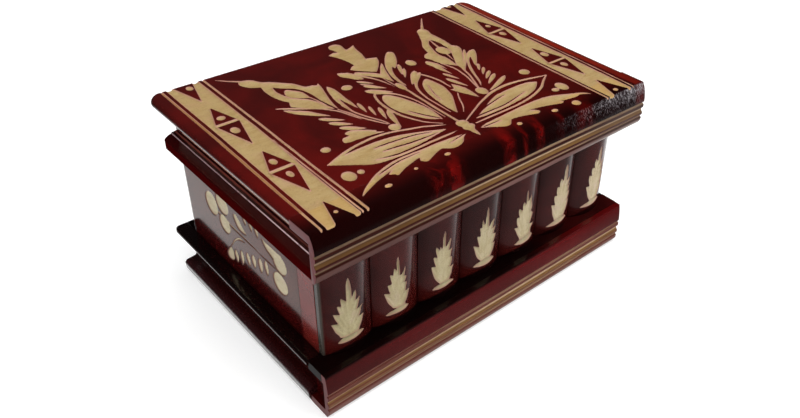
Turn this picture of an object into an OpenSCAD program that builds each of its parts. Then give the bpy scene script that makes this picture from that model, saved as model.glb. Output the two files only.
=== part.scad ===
/* [Overall] */
// Length of the lid, left to right, in mm
length = 170; // [150:1:190]
// Depth of the lid top, front edge to back edge, in mm
depth = 115; // [100:1:130]
// Overall height in mm
height = 86.5; // [86.5:0.1:86.5]

/* [Body] */
// Number of half-round columns on the front
columns = 7; // [7:1:7]
// How far a column's crest stands in front of its edges, in mm
column_rise = 3.9; // [3:0.1:4.5]
// Gap between neighbouring columns, in mm
column_gap = 0.36; // [0.2:0.02:0.6]
// Wall thickness of the body boards, in mm
wall = 5.5; // [5:0.1:6]

/* [Secret mechanism] */
// Travel of the base front strip to the left, in mm
strip_travel = 24; // [24:1:24]
// How far the secret column drops, in mm
column_drop = 11.5; // [11.5:0.1:11.5]
// Clearance round sliding wood, in mm
slide_gap = 0.2; // [0.15:0.01:0.3]

/* [Carving] */
// Depth of the carved border and grooves, in mm
carve = 0.6; // [0.4:0.1:1]

/* [Hidden] */
$fn = 48;
XL = length / 2;            // lid half length
XB = 78.6;                  // body half length
YS = -56.5;                 // the front edge of the lid top lies at this Y
D = depth;
H = height;
zb = 21.5;                  // top of the base, foot of the body
zt = 66.0;                  // top of the body
zl = 66.15;                 // underside of the lid
zp = H - 4.2;               // underside of the lid's top panel
y_crest = 5.4;
y_edge = y_crest + column_rise;
y_cb = 11.6;                // back of the columns, front of the front board
y_fb = y_cb + wall;         // inner face of the front board
y_cp = 21.5;                // joint between a front corner post and the side panel
y_bk = 107;                 // back face of the body
y_ft = 11.8;                // where the flat top of the lid's front moulding meets the panel
pitch = 2 * XB / columns;
cw = pitch - column_gap;
rc = (cw * cw / 4 + column_rise * column_rise) / (2 * column_rise);
hy = 108.72;                // hinge axis, behind the back face
hz = 66.075;
zf = 2.6;                   // top of the base's bottom board
hinge_x = [-46, 46];
key_z = 59.4;
ramp = column_drop / strip_travel;

red = [0.30, 0.03, 0.04];
straw = [0.80, 0.66, 0.42];
plain = [0.72, 0.56, 0.36];
gold = [0.78, 0.62, 0.30];
steel = [0.50, 0.50, 0.52];

// ---------- helpers ----------
// box given by its limits; y counts back from the lid's front edge
module bx(x0, x1, y0, y1, z0, z1)
  translate([x0, YS + y0, z0]) cube([x1 - x0, y1 - y0, z1 - z0]);
// a profile drawn in (y, z), run along X
module run_x(x0, x1) translate([x0, YS, 0]) rotate([90, 0, 90]) linear_extrude(height = x1 - x0) children();
// a profile drawn in (x, z), run along Y
module run_y(y0, y1) translate([0, YS + y1, 0]) rotate([90, 0, 0]) linear_extrude(height = y1 - y0) children();
// upright cylinder
module cz(x, y, z0, z1, r) translate([x, YS + y, z0]) cylinder(h = z1 - z0, r = r);
// cylinder along Y
module cy(x, z, y0, y1, r) translate([x, YS + y1, z]) rotate([90, 0, 0]) cylinder(h = y1 - y0, r = r);
// cylinder along X
module cx(y, z, x0, x1, r) translate([x0, YS + y, z]) rotate([0, 90, 0]) cylinder(h = x1 - x0, r = r);
function arcp(cx, cy, r, a0, a1, n) = [for (i = [0:n]) [cx + r * cos(a0 + (a1 - a0) * i / n), cy + r * sin(a0 + (a1 - a0) * i / n)]];
// quarter-round cutter for an upright corner whose two faces meet at (x, y);
// sx, sy point from the corner into the solid
module corner_cut(x, y, sx, sy, z0, z1, r) difference() {
  bx(min(x - sx, x + sx * r), max(x - sx, x + sx * r), min(y - sy, y + sy * r), max(y - sy, y + sy * r), z0, z1);
  cz(x + sx * r, y + sy * r, z0 - 1, z1 + 1, r);
}

// ---------- lid ----------
// carved border: the cut ground of one side band, seen from above
module tri(xc, y0, y1, w) polygon([[xc - w, y0], [xc + w, y0], [xc, y1]]);
module diamond_wood(xc) {
  // two whole diamonds and the halves at the ends, each split by a line and holding dots
  difference() { tri(xc, 77.6, 91, 4.7); translate([xc, 81.6]) circle(r = 1.5); }
  difference() { tri(xc, 76.2, 60, 4.7); translate([xc, 71.4]) circle(r = 1.7); }
  difference() { tri(xc, 38.6, 52, 4.7); translate([xc, 42.8]) circle(r = 1.7); }
  difference() { tri(xc, 37.2, 21, 4.7); translate([xc, 32.6]) circle(r = 1.6); }
  difference() { polygon([[xc - 4.4, 115.5], [xc + 4.4, 115.5], [xc, 98.5]]); translate([xc + 0.6, 110.6]) circle(r = 1.5); }
  difference() { polygon([[xc - 4.4, 0.5], [xc + 4.4, 0.5], [xc, 13]]); translate([xc, 4.6]) circle(r = 1.1); }
}
module border_2d(s) {
  difference() {
    polygon([[s * 64.2, 0.5], [s * 77.2, 0.5], [s * 77.2, 116], [s * 64.2, 116]]);
    diamond_wood(s * 70.6);
  }
  polygon([[s * 62.2, 0.5], [s * 62.9, 0.5], [s * 62.9, 116], [s * 62.2, 116]]);
  polygon([[s * 60.9, 0.5], [s * 61.5, 0.5], [s * 61.5, 116], [s * 60.9, 116]]);
  polygon([[s * 79.7, 0.5], [s * 80.6, 0.5], [s * 80.6, 116], [s * 79.7, 116]]);
}
module lid_top_panel() color(red) difference() {
  run_y(y_ft, D) polygon(concat(
    arcp(XL - 2.0, H - 2.0, 2.0, 90, -60, 8), [[XL - 2.6, zp]],
    [[-XL + 2.6, zp]], arcp(-XL + 2.0, H - 2.0, 2.0, 240, 90, 8)));
  corner_cut(-XL, D, 1, -1, zp - 1, H + 1, 5);
  corner_cut(XL, D, -1, -1, zp - 1, H + 1, 5);
  translate([0, YS, H - carve]) linear_extrude(height = 2) { border_2d(-1); border_2d(1); }
}
// front moulding of the lid: swelling band, three carved grooves, lower band
module lid_front_profile() polygon(concat(
  [[1.1, H], [0.1, H - 0.25]],
  [for (i = [1:7]) [0.1 - 2.1 * sin(i * 90 / 7), H - 0.25 - 7.5 * i / 7]],
  [[-1.5, 78.4], [-1.1, 78.0], [-1.5, 77.6], [-2.0, 77.4]],
  [[-2.0, 75.9], [-1.4, 75.5], [-1.15, 74.6], [-1.4, 73.7], [-1.95, 73.3]],
  [[-1.9, 71.9], [-1.3, 71.5], [-1.0, 71.05], [-1.3, 70.6], [-1.75, 70.3]],
  [[-1.7, 69.7], [-1.3, 67.9], [-0.3, 66.4], [1.1, 66.15]]));
// its flat top runs back to the panel and takes the ends of the carved borders
module lid_front_moulding() color(red) difference() {
  union() {
    run_x(-XL, XL) lid_front_profile();
    bx(-XL, XL, 1.0, y_ft, zp, H);
  }
  translate([0, YS, H - carve]) linear_extrude(height = 2) { border_2d(-1); border_2d(1); }
}
// side moulding under the panel: a wide shelf with a low step and a narrow outer face
module lid_side_profile() polygon(concat(
  [[-XB, 72.5], [-80.7, 72.2], [-80.9, 71.8]],
  arcp(-84.0, 69.9, 1.0, 82, 180, 6),
  arcp(-84.0, 67.6, 1.0, 180, 260, 5),
  [[-XB, zl]]));
module lid_left_moulding() color(red) difference() {
  run_y(1.1, y_bk) lid_side_profile();
  corner_cut(-85, y_bk, 1, -1, 60, 80, 3);
}
module lid_right_moulding() color(red) mirror([1, 0, 0]) difference() {
  run_y(1.1, y_bk) lid_side_profile();
  corner_cut(-85, y_bk, 1, -1, 60, 80, 3);
}
module link_nail_axes() for (x = [-7, 7]) translate([x, 0, 0]) children();
module lid_front_rail() color(plain) difference() {
  bx(-XB, XB, 1.1, y_fb, zl, zp);
  link_nail_axes() cy(0, 73.5, y_fb - 3, y_fb + 1, 0.55);
}
module lid_back_rail() color(red) difference() {
  bx(-XB, XB, y_bk - wall, y_bk, zl, zp);
  nail_shafts(1);
}
module lid_left_rail() color(red) bx(-XB, -XB + wall, y_fb, y_bk - wall, zl, zp);
module lid_right_rail() color(red) bx(XB - wall, XB, y_fb, y_bk - wall, zl, zp);

// ---------- hinges ----------
// barrel axis along X at (hy, hz); leaves lie on the back faces
function leaf_z(s) = s > 0 ? [hz + 1.6, hz + 10.5] : [hz - 10.5, hz - 1.6];
module nail_shafts(s) for (h = hinge_x) for (dx = [-6, 6]) for (dz = [4.2, 8.2])
  cy(h + dx + (dz > 5 ? 1.2 : -1.2), hz + s * dz, y_bk - 3.6, y_bk + 0.01, 0.55);
module nails(s) for (h = hinge_x) for (dx = [-6, 6]) for (dz = [4.2, 8.2]) {
  x = h + dx + (dz > 5 ? 1.2 : -1.2);
  cy(x, hz + s * dz, y_bk - 3.6, y_bk + 0.82, 0.55);
  cy(x, hz + s * dz, y_bk + 0.8, y_bk + 1.15, 1.05);
}
module leaf(h, s) {
  z = leaf_z(s);
  knuckles = s > 0 ? [[-3.4, 3.4]] : [[-10, -3.6], [3.6, 10]];
  difference() {
    bx(h - 10, h + 10, y_bk, y_bk + 0.8, z[0], z[1]);
    for (dx = [-6, 6]) for (dz = [4.2, 8.2]) cy(h + dx + (dz > 5 ? 1.2 : -1.2), hz + s * dz, y_bk - 1, y_bk + 2, 0.55);
  }
  for (k = knuckles) difference() {
    union() {
      cx(hy, hz, h + k[0], h + k[1], 1.65);
      // web from the leaf to the knuckle
      bx(h + k[0], h + k[1], y_bk + 0.1, y_bk + 0.8, s > 0 ? hz + 0.2 : hz - 1.7, s > 0 ? hz + 1.7 : hz - 0.2);
    }
    cx(hy, hz, h + k[0] - 1, h + k[1] + 1, 0.9);
  }
}
module hinge_lid_leaves() color(gold) for (h = hinge_x) leaf(h, 1);
module hinge_box_leaves() color(gold) for (h = hinge_x) leaf(h, -1);
module hinge_pins() color(gold) for (h = hinge_x) {
  cx(hy, hz, h - 10.1, h + 10.1, 0.84);
  cx(hy, hz, h - 10.9, h - 10.05, 1.3);
  cx(hy, hz, h + 10.05, h + 10.9, 1.3);
}
module hinge_lid_nails() color(gold) nails(1);
module hinge_box_nails() color(gold) nails(-1);

// ---------- link plate on the lid, for the lock ----------
module lock_link_plate() color(gold) difference() {
  union() {
    bx(-10, 10, y_fb, y_fb + 0.9, 69.5, 77.5);
    bx(-4.0, -2.4, y_fb + 0.5, y_fb + 4.9, 60.3, 73.5);
  }
  // eye for the bolt
  bx(-5, -1, y_fb + 1.85, y_fb + 4.05, 60.95, 64.0);
  bx(-5, -1, y_fb - 1, y_fb + 0.9, 60, 69.4);
  link_nail_axes() cy(0, 73.5, y_fb - 1, y_fb + 2, 0.55);
}
module link_plate_nails() color(gold) link_nail_axes() {
  cy(0, 73.5, y_fb - 3, y_fb + 0.92, 0.55);
  cy(0, 73.5, y_fb + 0.9, y_fb + 1.3, 1.1);
}

// ---------- body ----------
module tongue(x0, grow, z0, z1) {
  // dovetail key on the back of the secret column: neck and wider head
  bx(x0 - 2 - grow, x0 + 2 + grow, y_cb - 0.4, y_cb + 1.8 + grow, z0, z1);
  bx(x0 - 4 - grow, x0 + 4 + grow, y_cb + 1.6 - grow, y_cb + 3.2 + grow, z0, z1);
}
module front_board() color(red) difference() {
  bx(-XB + wall, XB - wall, y_cb, y_fb, zb, zt);
  tongue(0, slide_gap, zb - 1, 50.4);
  // keyhole: round with a slot below
  cy(0, key_z, y_cb - 1, y_fb + 1, 1.7);
  bx(-0.85, 0.85, y_cb - 1, y_fb + 1, key_z - 4.8, key_z);
  lock_nail_axes() cy(0, 0, y_fb - 3.2, y_fb + 1, 0.6);
}
module back_board() color(red) difference() {
  bx(-XB + wall, XB - wall, y_bk - wall, y_bk, zb, zt);
  nail_shafts(-1);
}
module left_side_panel() color(red) bx(-XB, -XB + wall, y_cp, y_bk, zb, zt);
module right_side_panel() color(red) bx(XB - wall, XB, y_cp, y_bk, zb, zt);
// upright posts at the front corners, flush with the side panels
module left_corner_post() color(red) bx(-XB, -XB + wall, y_cb, y_cp, zb, zt);
module right_corner_post() color(red) bx(XB - wall, XB, y_cb, y_cp, zb, zt);
// one half-round column between its own side planes
module column_shape(i, z0, z1) {
  xc = -XB + pitch * (i - 0.5);
  intersection() {
    bx(xc - cw / 2, xc + cw / 2, y_crest - 0.5, y_cb, z0, z1);
    cz(xc, y_crest + rc, z0 - 1, z1 + 1, rc);
  }
}
module column_1() color(red) column_shape(1, zb, zt - 0.1);
module column_2() color(red) column_shape(2, zb, zt - 0.1);
module column_3() color(red) column_shape(3, zb, zt - 0.1);
module column_5() color(red) column_shape(5, zb, zt - 0.1);
module column_6() color(red) column_shape(6, zb, zt - 0.1);
module column_7() color(red) column_shape(7, zb, zt - 0.1);
module secret_column() color(red) {
  column_shape(4, 18.0, zt - 0.1);
  tongue(0, 0, 18.5, 50);
  intersection() {
    cx_nose();
    bx(-2, 2, y_cb + 0.3, y_cb + 3.2, 16, 19);
  }
}
module cx_nose() cy(0, 18.5, y_cb + 0.3, y_cb + 3.2, 2);
module floor_lining() color(plain) bx(-XB + wall + 0.1, XB - wall - 0.1, y_fb + 0.1, y_bk - wall - 0.1, zb, zb + 2);

// ---------- lock on the inside of the front board ----------
module lock_nail_axes() for (x = [-13.4, 13.4]) for (z = [50, 57.5]) translate([x, 0, z]) children();
module lock_case() color(steel) difference() {
  bx(-16, 16, y_fb, y_fb + 6, 46.5, 65.2);
  difference() {
    bx(-15.1, 15.1, y_fb - 1, y_fb + 5.2, 47.4, 64.3);
    // guide under the bolt's tail
    bx(8.9, 15.2, y_fb + 1.0, y_fb + 5.3, 60.2, 61.15);
    // bosses for the four nails
    lock_nail_axes() cy(0, 0, y_fb, y_fb + 5.4, 1.4);
  }
  // slot in the top for the link plate's eye
  bx(-4.7, -1.7, y_fb + 0.2, y_fb + 5.2, 62, 66);
  lock_nail_axes() cy(0, 0, y_fb - 1, y_fb + 7, 0.6);
  cy(0, key_z, y_fb + 4, y_fb + 7, 0.7);
}
module lock_post() color(steel) cy(0, key_z, y_fb + 0.6, y_fb + 6, 0.7);
module lock_nails() color(steel) lock_nail_axes() {
  cy(0, 0, y_fb - 3.2, y_fb + 6.02, 0.6);
  cy(0, 0, y_fb + 6, y_fb + 6.5, 1.2);
}
module lock_bolt() color(steel) difference() {
  union() {
    bx(-1.9, 14, y_fb + 2.1, y_fb + 3.8, 61.25, 63.75);
    bx(5.1, 8.3, y_fb + 2.1, y_fb + 3.8, 59.3, 61.3);
  }
  // notch that the key's bit turns in
  bx(5.9, 7.5, y_fb + 1, y_fb + 5, 59, 61.0);
}

// ---------- base ----------
module base_top_plate() color(red) difference() {
  union() {
    bx(-XB, XB, 2.5, D, 17.5, zb);
    bx(-84, 84, 2.5, 10.8, 17.5, zb);
  }
  // the secret column goes down through the plate
  intersection() {
    bx(-cw / 2 - slide_gap, cw / 2 + slide_gap, y_crest - slide_gap, y_cb + 0.2, 17, 22);
    cz(0, y_crest + rc, 16, 23, rc + slide_gap);
  }
  tongue(0, slide_gap, 17, 22);
}
module base_bottom_board() color(plain) bx(-70.6, 70.9, 10.9, y_bk, 0.6, zf);
module base_left_runner() color(plain) difference() {
  bx(-70.8, -58, 17.2, y_bk, zf, 17.5);
  bx(-72, -69.0 + slide_gap, 16, y_bk + 1, 9.5 - slide_gap, 11.5 + slide_gap);
  bx(-69.2 - slide_gap, -67.4 + slide_gap, 16, y_bk + 1, 8 - slide_gap, 13 + slide_gap);
}
module base_right_spacer() color(plain) bx(58, 70.9, 17.2, y_bk, zf, 17.5);
module base_back_spacer() color(plain) bx(-57.8, 57.8, y_bk - 12, y_bk, zf, 17.5);
// two fixed rails behind the front moulding, grooved for its tongues
module base_front_rails() color(plain) difference() {
  union() {
    bx(-70.6, -30, 10.9, 17, zf, 17.5);
    bx(30, 70.9, 10.9, 17, zf, 17.5);
  }
  bx(-72, 72, 10, 12.8, 10 - slide_gap, 12 + slide_gap);
  bx(-72, 72, 12.6 - slide_gap, 14.6 + slide_gap, 8.5 - slide_gap, 13.5 + slide_gap);
}
// side moulding of the base: rounded lip at the top, hollow, rounded lip at the foot
module base_side_profile() polygon(concat(
  [[-70.95, 0], [-70.95, 17.3], [-78.8, 17.3], [-78.8, zb]],
  arcp(-83.3, zb - 1.35, 1.35, 90, 240, 10),
  [[-81.6, 17.2], [-80.2, 16.2], [-79.4, 14.6], [-79.2, 13.0], [-79.2, 7.6], [-79.6, 6.9], [-80.3, 6.7]],
  arcp(-83.2, 4.7, 1.7, 90, 180, 7),
  [[-84.7, 2.0], [-83.9, 0]]));
// the parts below the ledge stop short of the back, so that only the ledge reaches the corner
module base_side_back() bx(-86, -76.3, 109.7, D + 1, -1, 17.6);
module base_left_moulding() color(red) difference() {
  union() {
    run_y(11.0, D) base_side_profile();
    bx(-71.1, -69.2, 18, 60, 9.5, 11.5);
    bx(-69.2, -67.4, 18, 60, 8, 13);
  }
  corner_cut(-84.65, D, 1, -1, 17.6, 23, 2.2);
  base_side_back();
  // hiding place for the key, open on the inner face
  bx(-74.4, -70, 72, 98, 6.4, 10.8);
  translate([-74.4, YS + 103, 8.6]) rotate([0, 90, 0]) cylinder(h = 5, r = 6.4);
  bx(-74.4, -70, 72.5, 79, 3.4, 8.6);
}
module base_right_moulding() color(red) mirror([1, 0, 0]) difference() {
  run_y(11.0, D) base_side_profile();
  corner_cut(-84.65, D, 1, -1, 17.6, 23, 2.2);
  base_side_back();
}
module base_back_moulding() color(red) run_x(-70.75, 70.95) polygon(
  [[y_bk, 0], [y_bk, 17.5], [D - 0.4, 17.5], [D, 13.1],
   [D - 0.6, 12.75], [D - 0.9, 12.4], [D - 0.6, 12.05], [D, 11.85],
   [D, 10.3], [D - 0.6, 9.9], [D - 0.9, 9.0], [D - 0.6, 8.1], [D, 7.7],
   [D, 6.5], [D - 0.6, 6.2], [D - 0.9, 5.85], [D - 0.6, 5.5], [D, 5.2],
   [D, 2.0], [D - 1.4, 0]]);
// front moulding of the base: swelling band, three carved grooves, lower band
module base_front_profile() polygon(concat(
  [[10.7, 0], [10.7, 17.3], [2.3, 17.3], [2.3, zb - 0.1], [0.1, zb - 0.2]],
  [for (i = [1:7]) [0.1 - 1.1 * sin(i * 90 / 7), zb - 0.2 - 8.8 * i / 7]],
  [[-0.5, 12.15], [-0.2, 11.8], [-0.5, 11.45], [-1.05, 11.25]],
  [[-1.05, 9.6], [-0.5, 9.2], [-0.2, 8.3], [-0.5, 7.4], [-1.05, 7.0]],
  [[-1.0, 5.6], [-0.5, 5.3], [-0.2, 4.75], [-0.5, 4.2], [-0.95, 3.9]],
  [[-0.9, 2.2], [0.5, 0]]));
module base_front_moulding() color(red) difference() {
  union() {
    run_x(-84, 84) base_front_profile();
    for (s = [[-46, -13], [37.5, 70]]) {
      bx(s[0], s[1], 10.6, 12.6, 10, 12);
      bx(s[0], s[1], 12.6, 14.6, 8.5, 13.5);
    }
  }
  // hollow ends, so that each end shows a rim, a top lip and a foot lip
  for (s = [-1, 1]) bx(s > 0 ? 81.2 : -85, s > 0 ? 85 : -81.2, 1.4, 11, 3.2, 17.4);
  // room for the secret column to come down
  bx(-12, 36, 5.0, 11, 5.8, 18);
}
// stepped block behind the front moulding; its slope carries the column's foot
module column_wedge() color(plain) {
  bx(-5, 28, 10.7, 15.2, zf + 0.2, 4.1);
  bx(-5, 14, 10.7, 15.2, zf + 0.2, 5.6);
  wedge_slope();
}
module wedge_slope() run_y(11.95, 15.2) polygon([[-5, zf + 0.2], [28, zf + 0.2], [28, 4.1],
  [(16.18 - 4.1) / ramp, 4.1], [(16.18 - 17.2) / ramp, 17.2], [-5, 17.2]]);

// ---------- key ----------
module key() color(steel) {
  // ring bow
  translate([-74.4, YS + 103, 8.6]) rotate([0, 90, 0]) difference() {
    cylinder(h = 1.8, r = 5.6);
    translate([0, 0, -1]) cylinder(h = 4, r = 3.5);
  }
  // hollow shaft
  difference() {
    cy(-73.1, 8.6, 73, 98, 1.3);
    cy(-73.1, 8.6, 72, 80, 0.75);
  }
  cy(-73.1, 8.6, 96.6, 98.4, 1.3);
  // bit
  bx(-73.6, -72.6, 74, 77.6, 4.6, 7.6);
}

lid_top_panel();
lid_front_moulding();
lid_left_moulding();
lid_right_moulding();
lid_front_rail();
lid_back_rail();
lid_left_rail();
lid_right_rail();
hinge_lid_leaves();
hinge_lid_nails();
lock_link_plate();
link_plate_nails();
front_board();
back_board();
left_side_panel();
right_side_panel();
left_corner_post();
right_corner_post();
column_1();
column_2();
column_3();
column_5();
column_6();
column_7();
floor_lining();
base_top_plate();
base_bottom_board();
base_left_runner();
base_right_spacer();
base_back_spacer();
base_front_rails();
base_right_moulding();
base_back_moulding();
hinge_box_leaves();
hinge_pins();
hinge_box_nails();
lock_case();
lock_post();
lock_nails();
base_front_moulding();
column_wedge();
base_left_moulding();
key();
secret_column();
lock_bolt();
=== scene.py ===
import math

import bpy
import numpy as np
from mathutils import Matrix, Vector


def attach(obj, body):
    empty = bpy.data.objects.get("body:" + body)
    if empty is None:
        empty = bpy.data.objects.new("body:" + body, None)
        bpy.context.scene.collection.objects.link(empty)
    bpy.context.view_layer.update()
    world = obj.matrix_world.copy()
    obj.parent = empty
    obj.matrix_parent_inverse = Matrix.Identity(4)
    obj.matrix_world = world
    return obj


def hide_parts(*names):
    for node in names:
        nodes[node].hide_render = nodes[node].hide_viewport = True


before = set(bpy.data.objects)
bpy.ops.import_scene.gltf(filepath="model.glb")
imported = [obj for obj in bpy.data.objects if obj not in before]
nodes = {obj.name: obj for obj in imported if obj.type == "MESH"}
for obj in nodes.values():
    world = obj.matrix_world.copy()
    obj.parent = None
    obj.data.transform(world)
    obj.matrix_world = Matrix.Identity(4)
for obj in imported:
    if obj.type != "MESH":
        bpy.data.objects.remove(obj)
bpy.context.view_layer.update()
MM = 0.001
YS = -56.5           # row frame y (mm) = y + YS, with y counted back from the lid's front arris


# ------------------------------------------------------------------ camera
def rolled_camera():
    yaw, pitch, roll = (math.radians(a) for a in (44.4616, 35.0116, 3.0979))
    fwd = Vector((math.sin(yaw) * math.cos(pitch), math.cos(yaw) * math.cos(pitch), -math.sin(pitch)))
    rt = Vector((math.cos(yaw), -math.sin(yaw), 0))
    up = rt.cross(fwd)
    r = math.cos(roll) * rt + math.sin(roll) * up
    u = -math.sin(roll) * rt + math.cos(roll) * up
    data = bpy.data.cameras.new("camera")
    data.sensor_fit = "HORIZONTAL"
    data.sensor_width = 36.0
    data.lens = 796.18 * 36.0 / 800.0
    data.shift_x = 0.5 - 469.63 / 800.0
    data.shift_y = (195.09 - 209.0) / 800.0
    data.clip_start = 0.01
    data.clip_end = 20.0
    cam = bpy.data.objects.new("camera", data)
    bpy.context.scene.collection.objects.link(cam)
    m = Matrix.Identity(4)
    for i in range(3):
        m[i][0], m[i][1], m[i][2] = r[i], u[i], -fwd[i]
    m.translation = Vector((-0.185123, -0.228130, 0.239914))
    cam.matrix_world = m
    bpy.context.scene.camera = cam


rolled_camera()


# ------------------------------------------------------------------ small noise, seeded
def lattice(seed, nx, ny):
    return np.random.RandomState(seed).uniform(-1, 1, (nx, ny))


def vnoise(x, y, step, seed):
    """Smooth noise in -1..1 with the given step, same at every run."""
    g = lattice(seed, 64, 64)
    u, v = x / step, y / step
    iu, iv = np.floor(u).astype(int), np.floor(v).astype(int)
    fu, fv = u - iu, v - iv
    fu, fv = fu * fu * (3 - 2 * fu), fv * fv * (3 - 2 * fv)
    a = g[iu % 64, iv % 64]
    b = g[(iu + 1) % 64, iv % 64]
    c = g[iu % 64, (iv + 1) % 64]
    d = g[(iu + 1) % 64, (iv + 1) % 64]
    return (a * (1 - fu) + b * fu) * (1 - fv) + (c * (1 - fu) + d * fu) * fv


# ------------------------------------------------------------------ drawing with signed distances, in mm
def spline(pts, n=6, closed=False):
    p = np.array([q[:2] for q in pts], float)
    if len(p) < 3 and not closed:
        return p
    m = len(p)
    out = []
    last = m if closed else m - 1
    for i in range(last):
        if closed:
            a, b, c, d = p[(i - 1) % m], p[i], p[(i + 1) % m], p[(i + 2) % m]
        else:
            b, c = p[i], p[i + 1]
            a = p[i - 1] if i > 0 else 2 * b - c
            d = p[i + 2] if i + 2 < m else 2 * c - b
        for k in range(n):
            t = k / n
            out.append(0.5 * (2 * b + (c - a) * t + (2 * a - 5 * b + 4 * c - d) * t * t
                              + (3 * b - a - 3 * c + d) * t ** 3))
    if not closed:
        out.append(p[-1])
    return np.array(out)


def outline(pts, n=5):
    """Closed outline through pts. A point with a third item is a sharp corner."""
    sharp = [i for i, q in enumerate(pts) if len(q) > 2]
    if not sharp:
        return spline(pts, n, True)
    pts = pts[sharp[0]:] + pts[:sharp[0]]
    sharp = [i for i, q in enumerate(pts) if len(q) > 2] + [len(pts)]
    loop = pts + [pts[0]]
    out = []
    for a, b in zip(sharp[:-1], sharp[1:]):
        out.append(spline(loop[a:b + 1], n)[:-1])
    return np.concatenate(out)


def poly_distance(P, V):
    A, B = V, np.roll(V, -1, 0)
    E = B - A
    ee = np.maximum((E * E).sum(1), 1e-12)
    best = np.full(len(P), 1e9)
    inside = np.zeros(len(P), bool)
    for a, b, e, q in zip(A, B, E, ee):
        w = P - a
        t = np.clip((w @ e) / q, 0, 1)
        d = w - t[:, None] * e
        best = np.minimum(best, (d * d).sum(1))
        cross = (a[1] <= P[:, 1]) != (b[1] <= P[:, 1])
        if cross.any():
            xs = a[0] + (P[:, 1] - a[1]) * (e[0] / (e[1] if abs(e[1]) > 1e-12 else 1e-12))
            inside ^= cross & (P[:, 0] < xs)
    d = np.sqrt(best)
    return np.where(inside, -d, d)


def stroke_distance(P, V, R):
    best = np.full(len(P), 1e9)
    for a, b, ra, rb in zip(V[:-1], V[1:], R[:-1], R[1:]):
        e = b - a
        w = P - a
        t = np.clip((w @ e) / max(e @ e, 1e-12), 0, 1)
        d = w - t[:, None] * e
        best = np.minimum(best, np.sqrt((d * d).sum(1)) - (ra + (rb - ra) * t))
    return best


class Carving:
    """A list of shapes that are cut (add) or left standing (sub). distance() gives the signed distance in mm to the cut's edge, negative inside it."""

    def __init__(self):
        self.ops = []

    def _put(self, add, fn, V, grow):
        lo, hi = V.min(0) - grow, V.max(0) + grow
        self.ops.append((add, fn, lo, hi))

    def shape(self, pts, add=True, n=5):
        V = outline([tuple(q) for q in pts], n)
        self._put(add, lambda P, V=V: poly_distance(P, V), V, 1.6)

    def cut(self, pts):
        """straight-sided shape"""
        V = np.array(pts, float)
        self._put(True, lambda P, V=V: poly_distance(P, V), V, 1.6)

    def leave(self, pts):
        V = np.array(pts, float)
        self._put(False, lambda P, V=V: poly_distance(P, V), V, 0.05)

    def stroke(self, pts, w, add=True, n=6):
        """pts along the stroke, w its widths: one number, or one at each of the points"""
        V = spline(pts, n)
        W = np.full(len(pts), float(w)) if np.isscalar(w) else np.array(w, float)
        at = np.linspace(0, len(pts) - 1, len(V))
        R = np.interp(at, np.arange(len(pts)), W) / 2
        self._put(add, lambda P, V=V, R=R: stroke_distance(P, V, R), V, 1.6 + R.max())

    def dot(self, x, y, rx, ry=None, turn=0.0, add=True):
        ry = rx if ry is None else ry
        a = np.linspace(0, 2 * math.pi, 28, endpoint=False)
        c, s = math.cos(turn), math.sin(turn)
        px, py = rx * np.cos(a), ry * np.sin(a)
        V = np.stack([x + c * px - s * py, y + s * px + c * py], 1)
        self._put(add, lambda P, V=V: poly_distance(P, V), V, 1.6)

    def chip(self, x0, y0, x1, y1, w, bend=0.0, blunt=0.32, add=True):
        """one chip: blunt at (x0, y0), pointed at (x1, y1), bend to the left of its way in mm"""
        t = np.linspace(0, 1, 15)
        dx, dy = x1 - x0, y1 - y0
        ln = math.hypot(dx, dy)
        nx, ny = -dy / ln, dx / ln
        cx = x0 + dx * t + nx * bend * 4 * t * (1 - t)
        cy = y0 + dy * t + ny * bend * 4 * t * (1 - t)
        f = np.where(t < blunt, np.sin(0.5 * math.pi * np.clip(t / blunt, 0, 1)) ** 0.6,
                     np.cos(0.5 * math.pi * np.clip((t - blunt) / (1 - blunt), 0, 1)) ** 0.85)
        gx, gy = np.gradient(cx), np.gradient(cy)
        gl = np.hypot(gx, gy)
        ox, oy = -gy / gl * f * w / 2, gx / gl * f * w / 2
        V = np.concatenate([np.stack([cx + ox, cy + oy], 1), np.stack([cx - ox, cy - oy], 1)[::-1][1:-1]])
        self._put(add, lambda P, V=V: poly_distance(P, V), V, 1.6)

    def distance(self, X, Y):
        P = np.stack([np.ravel(X), np.ravel(Y)], 1)
        sd = np.full(len(P), 1.5)
        for add, fn, lo, hi in self.ops:
            m = np.nonzero((P[:, 0] > lo[0]) & (P[:, 0] < hi[0]) & (P[:, 1] > lo[1]) & (P[:, 1] < hi[1]))[0]
            if not len(m):
                continue
            d = fn(P[m])
            sd[m] = np.minimum(sd[m], d) if add else np.maximum(sd[m], -d)
        return np.clip(sd, -3.0, 1.5).reshape(np.shape(X))


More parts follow.
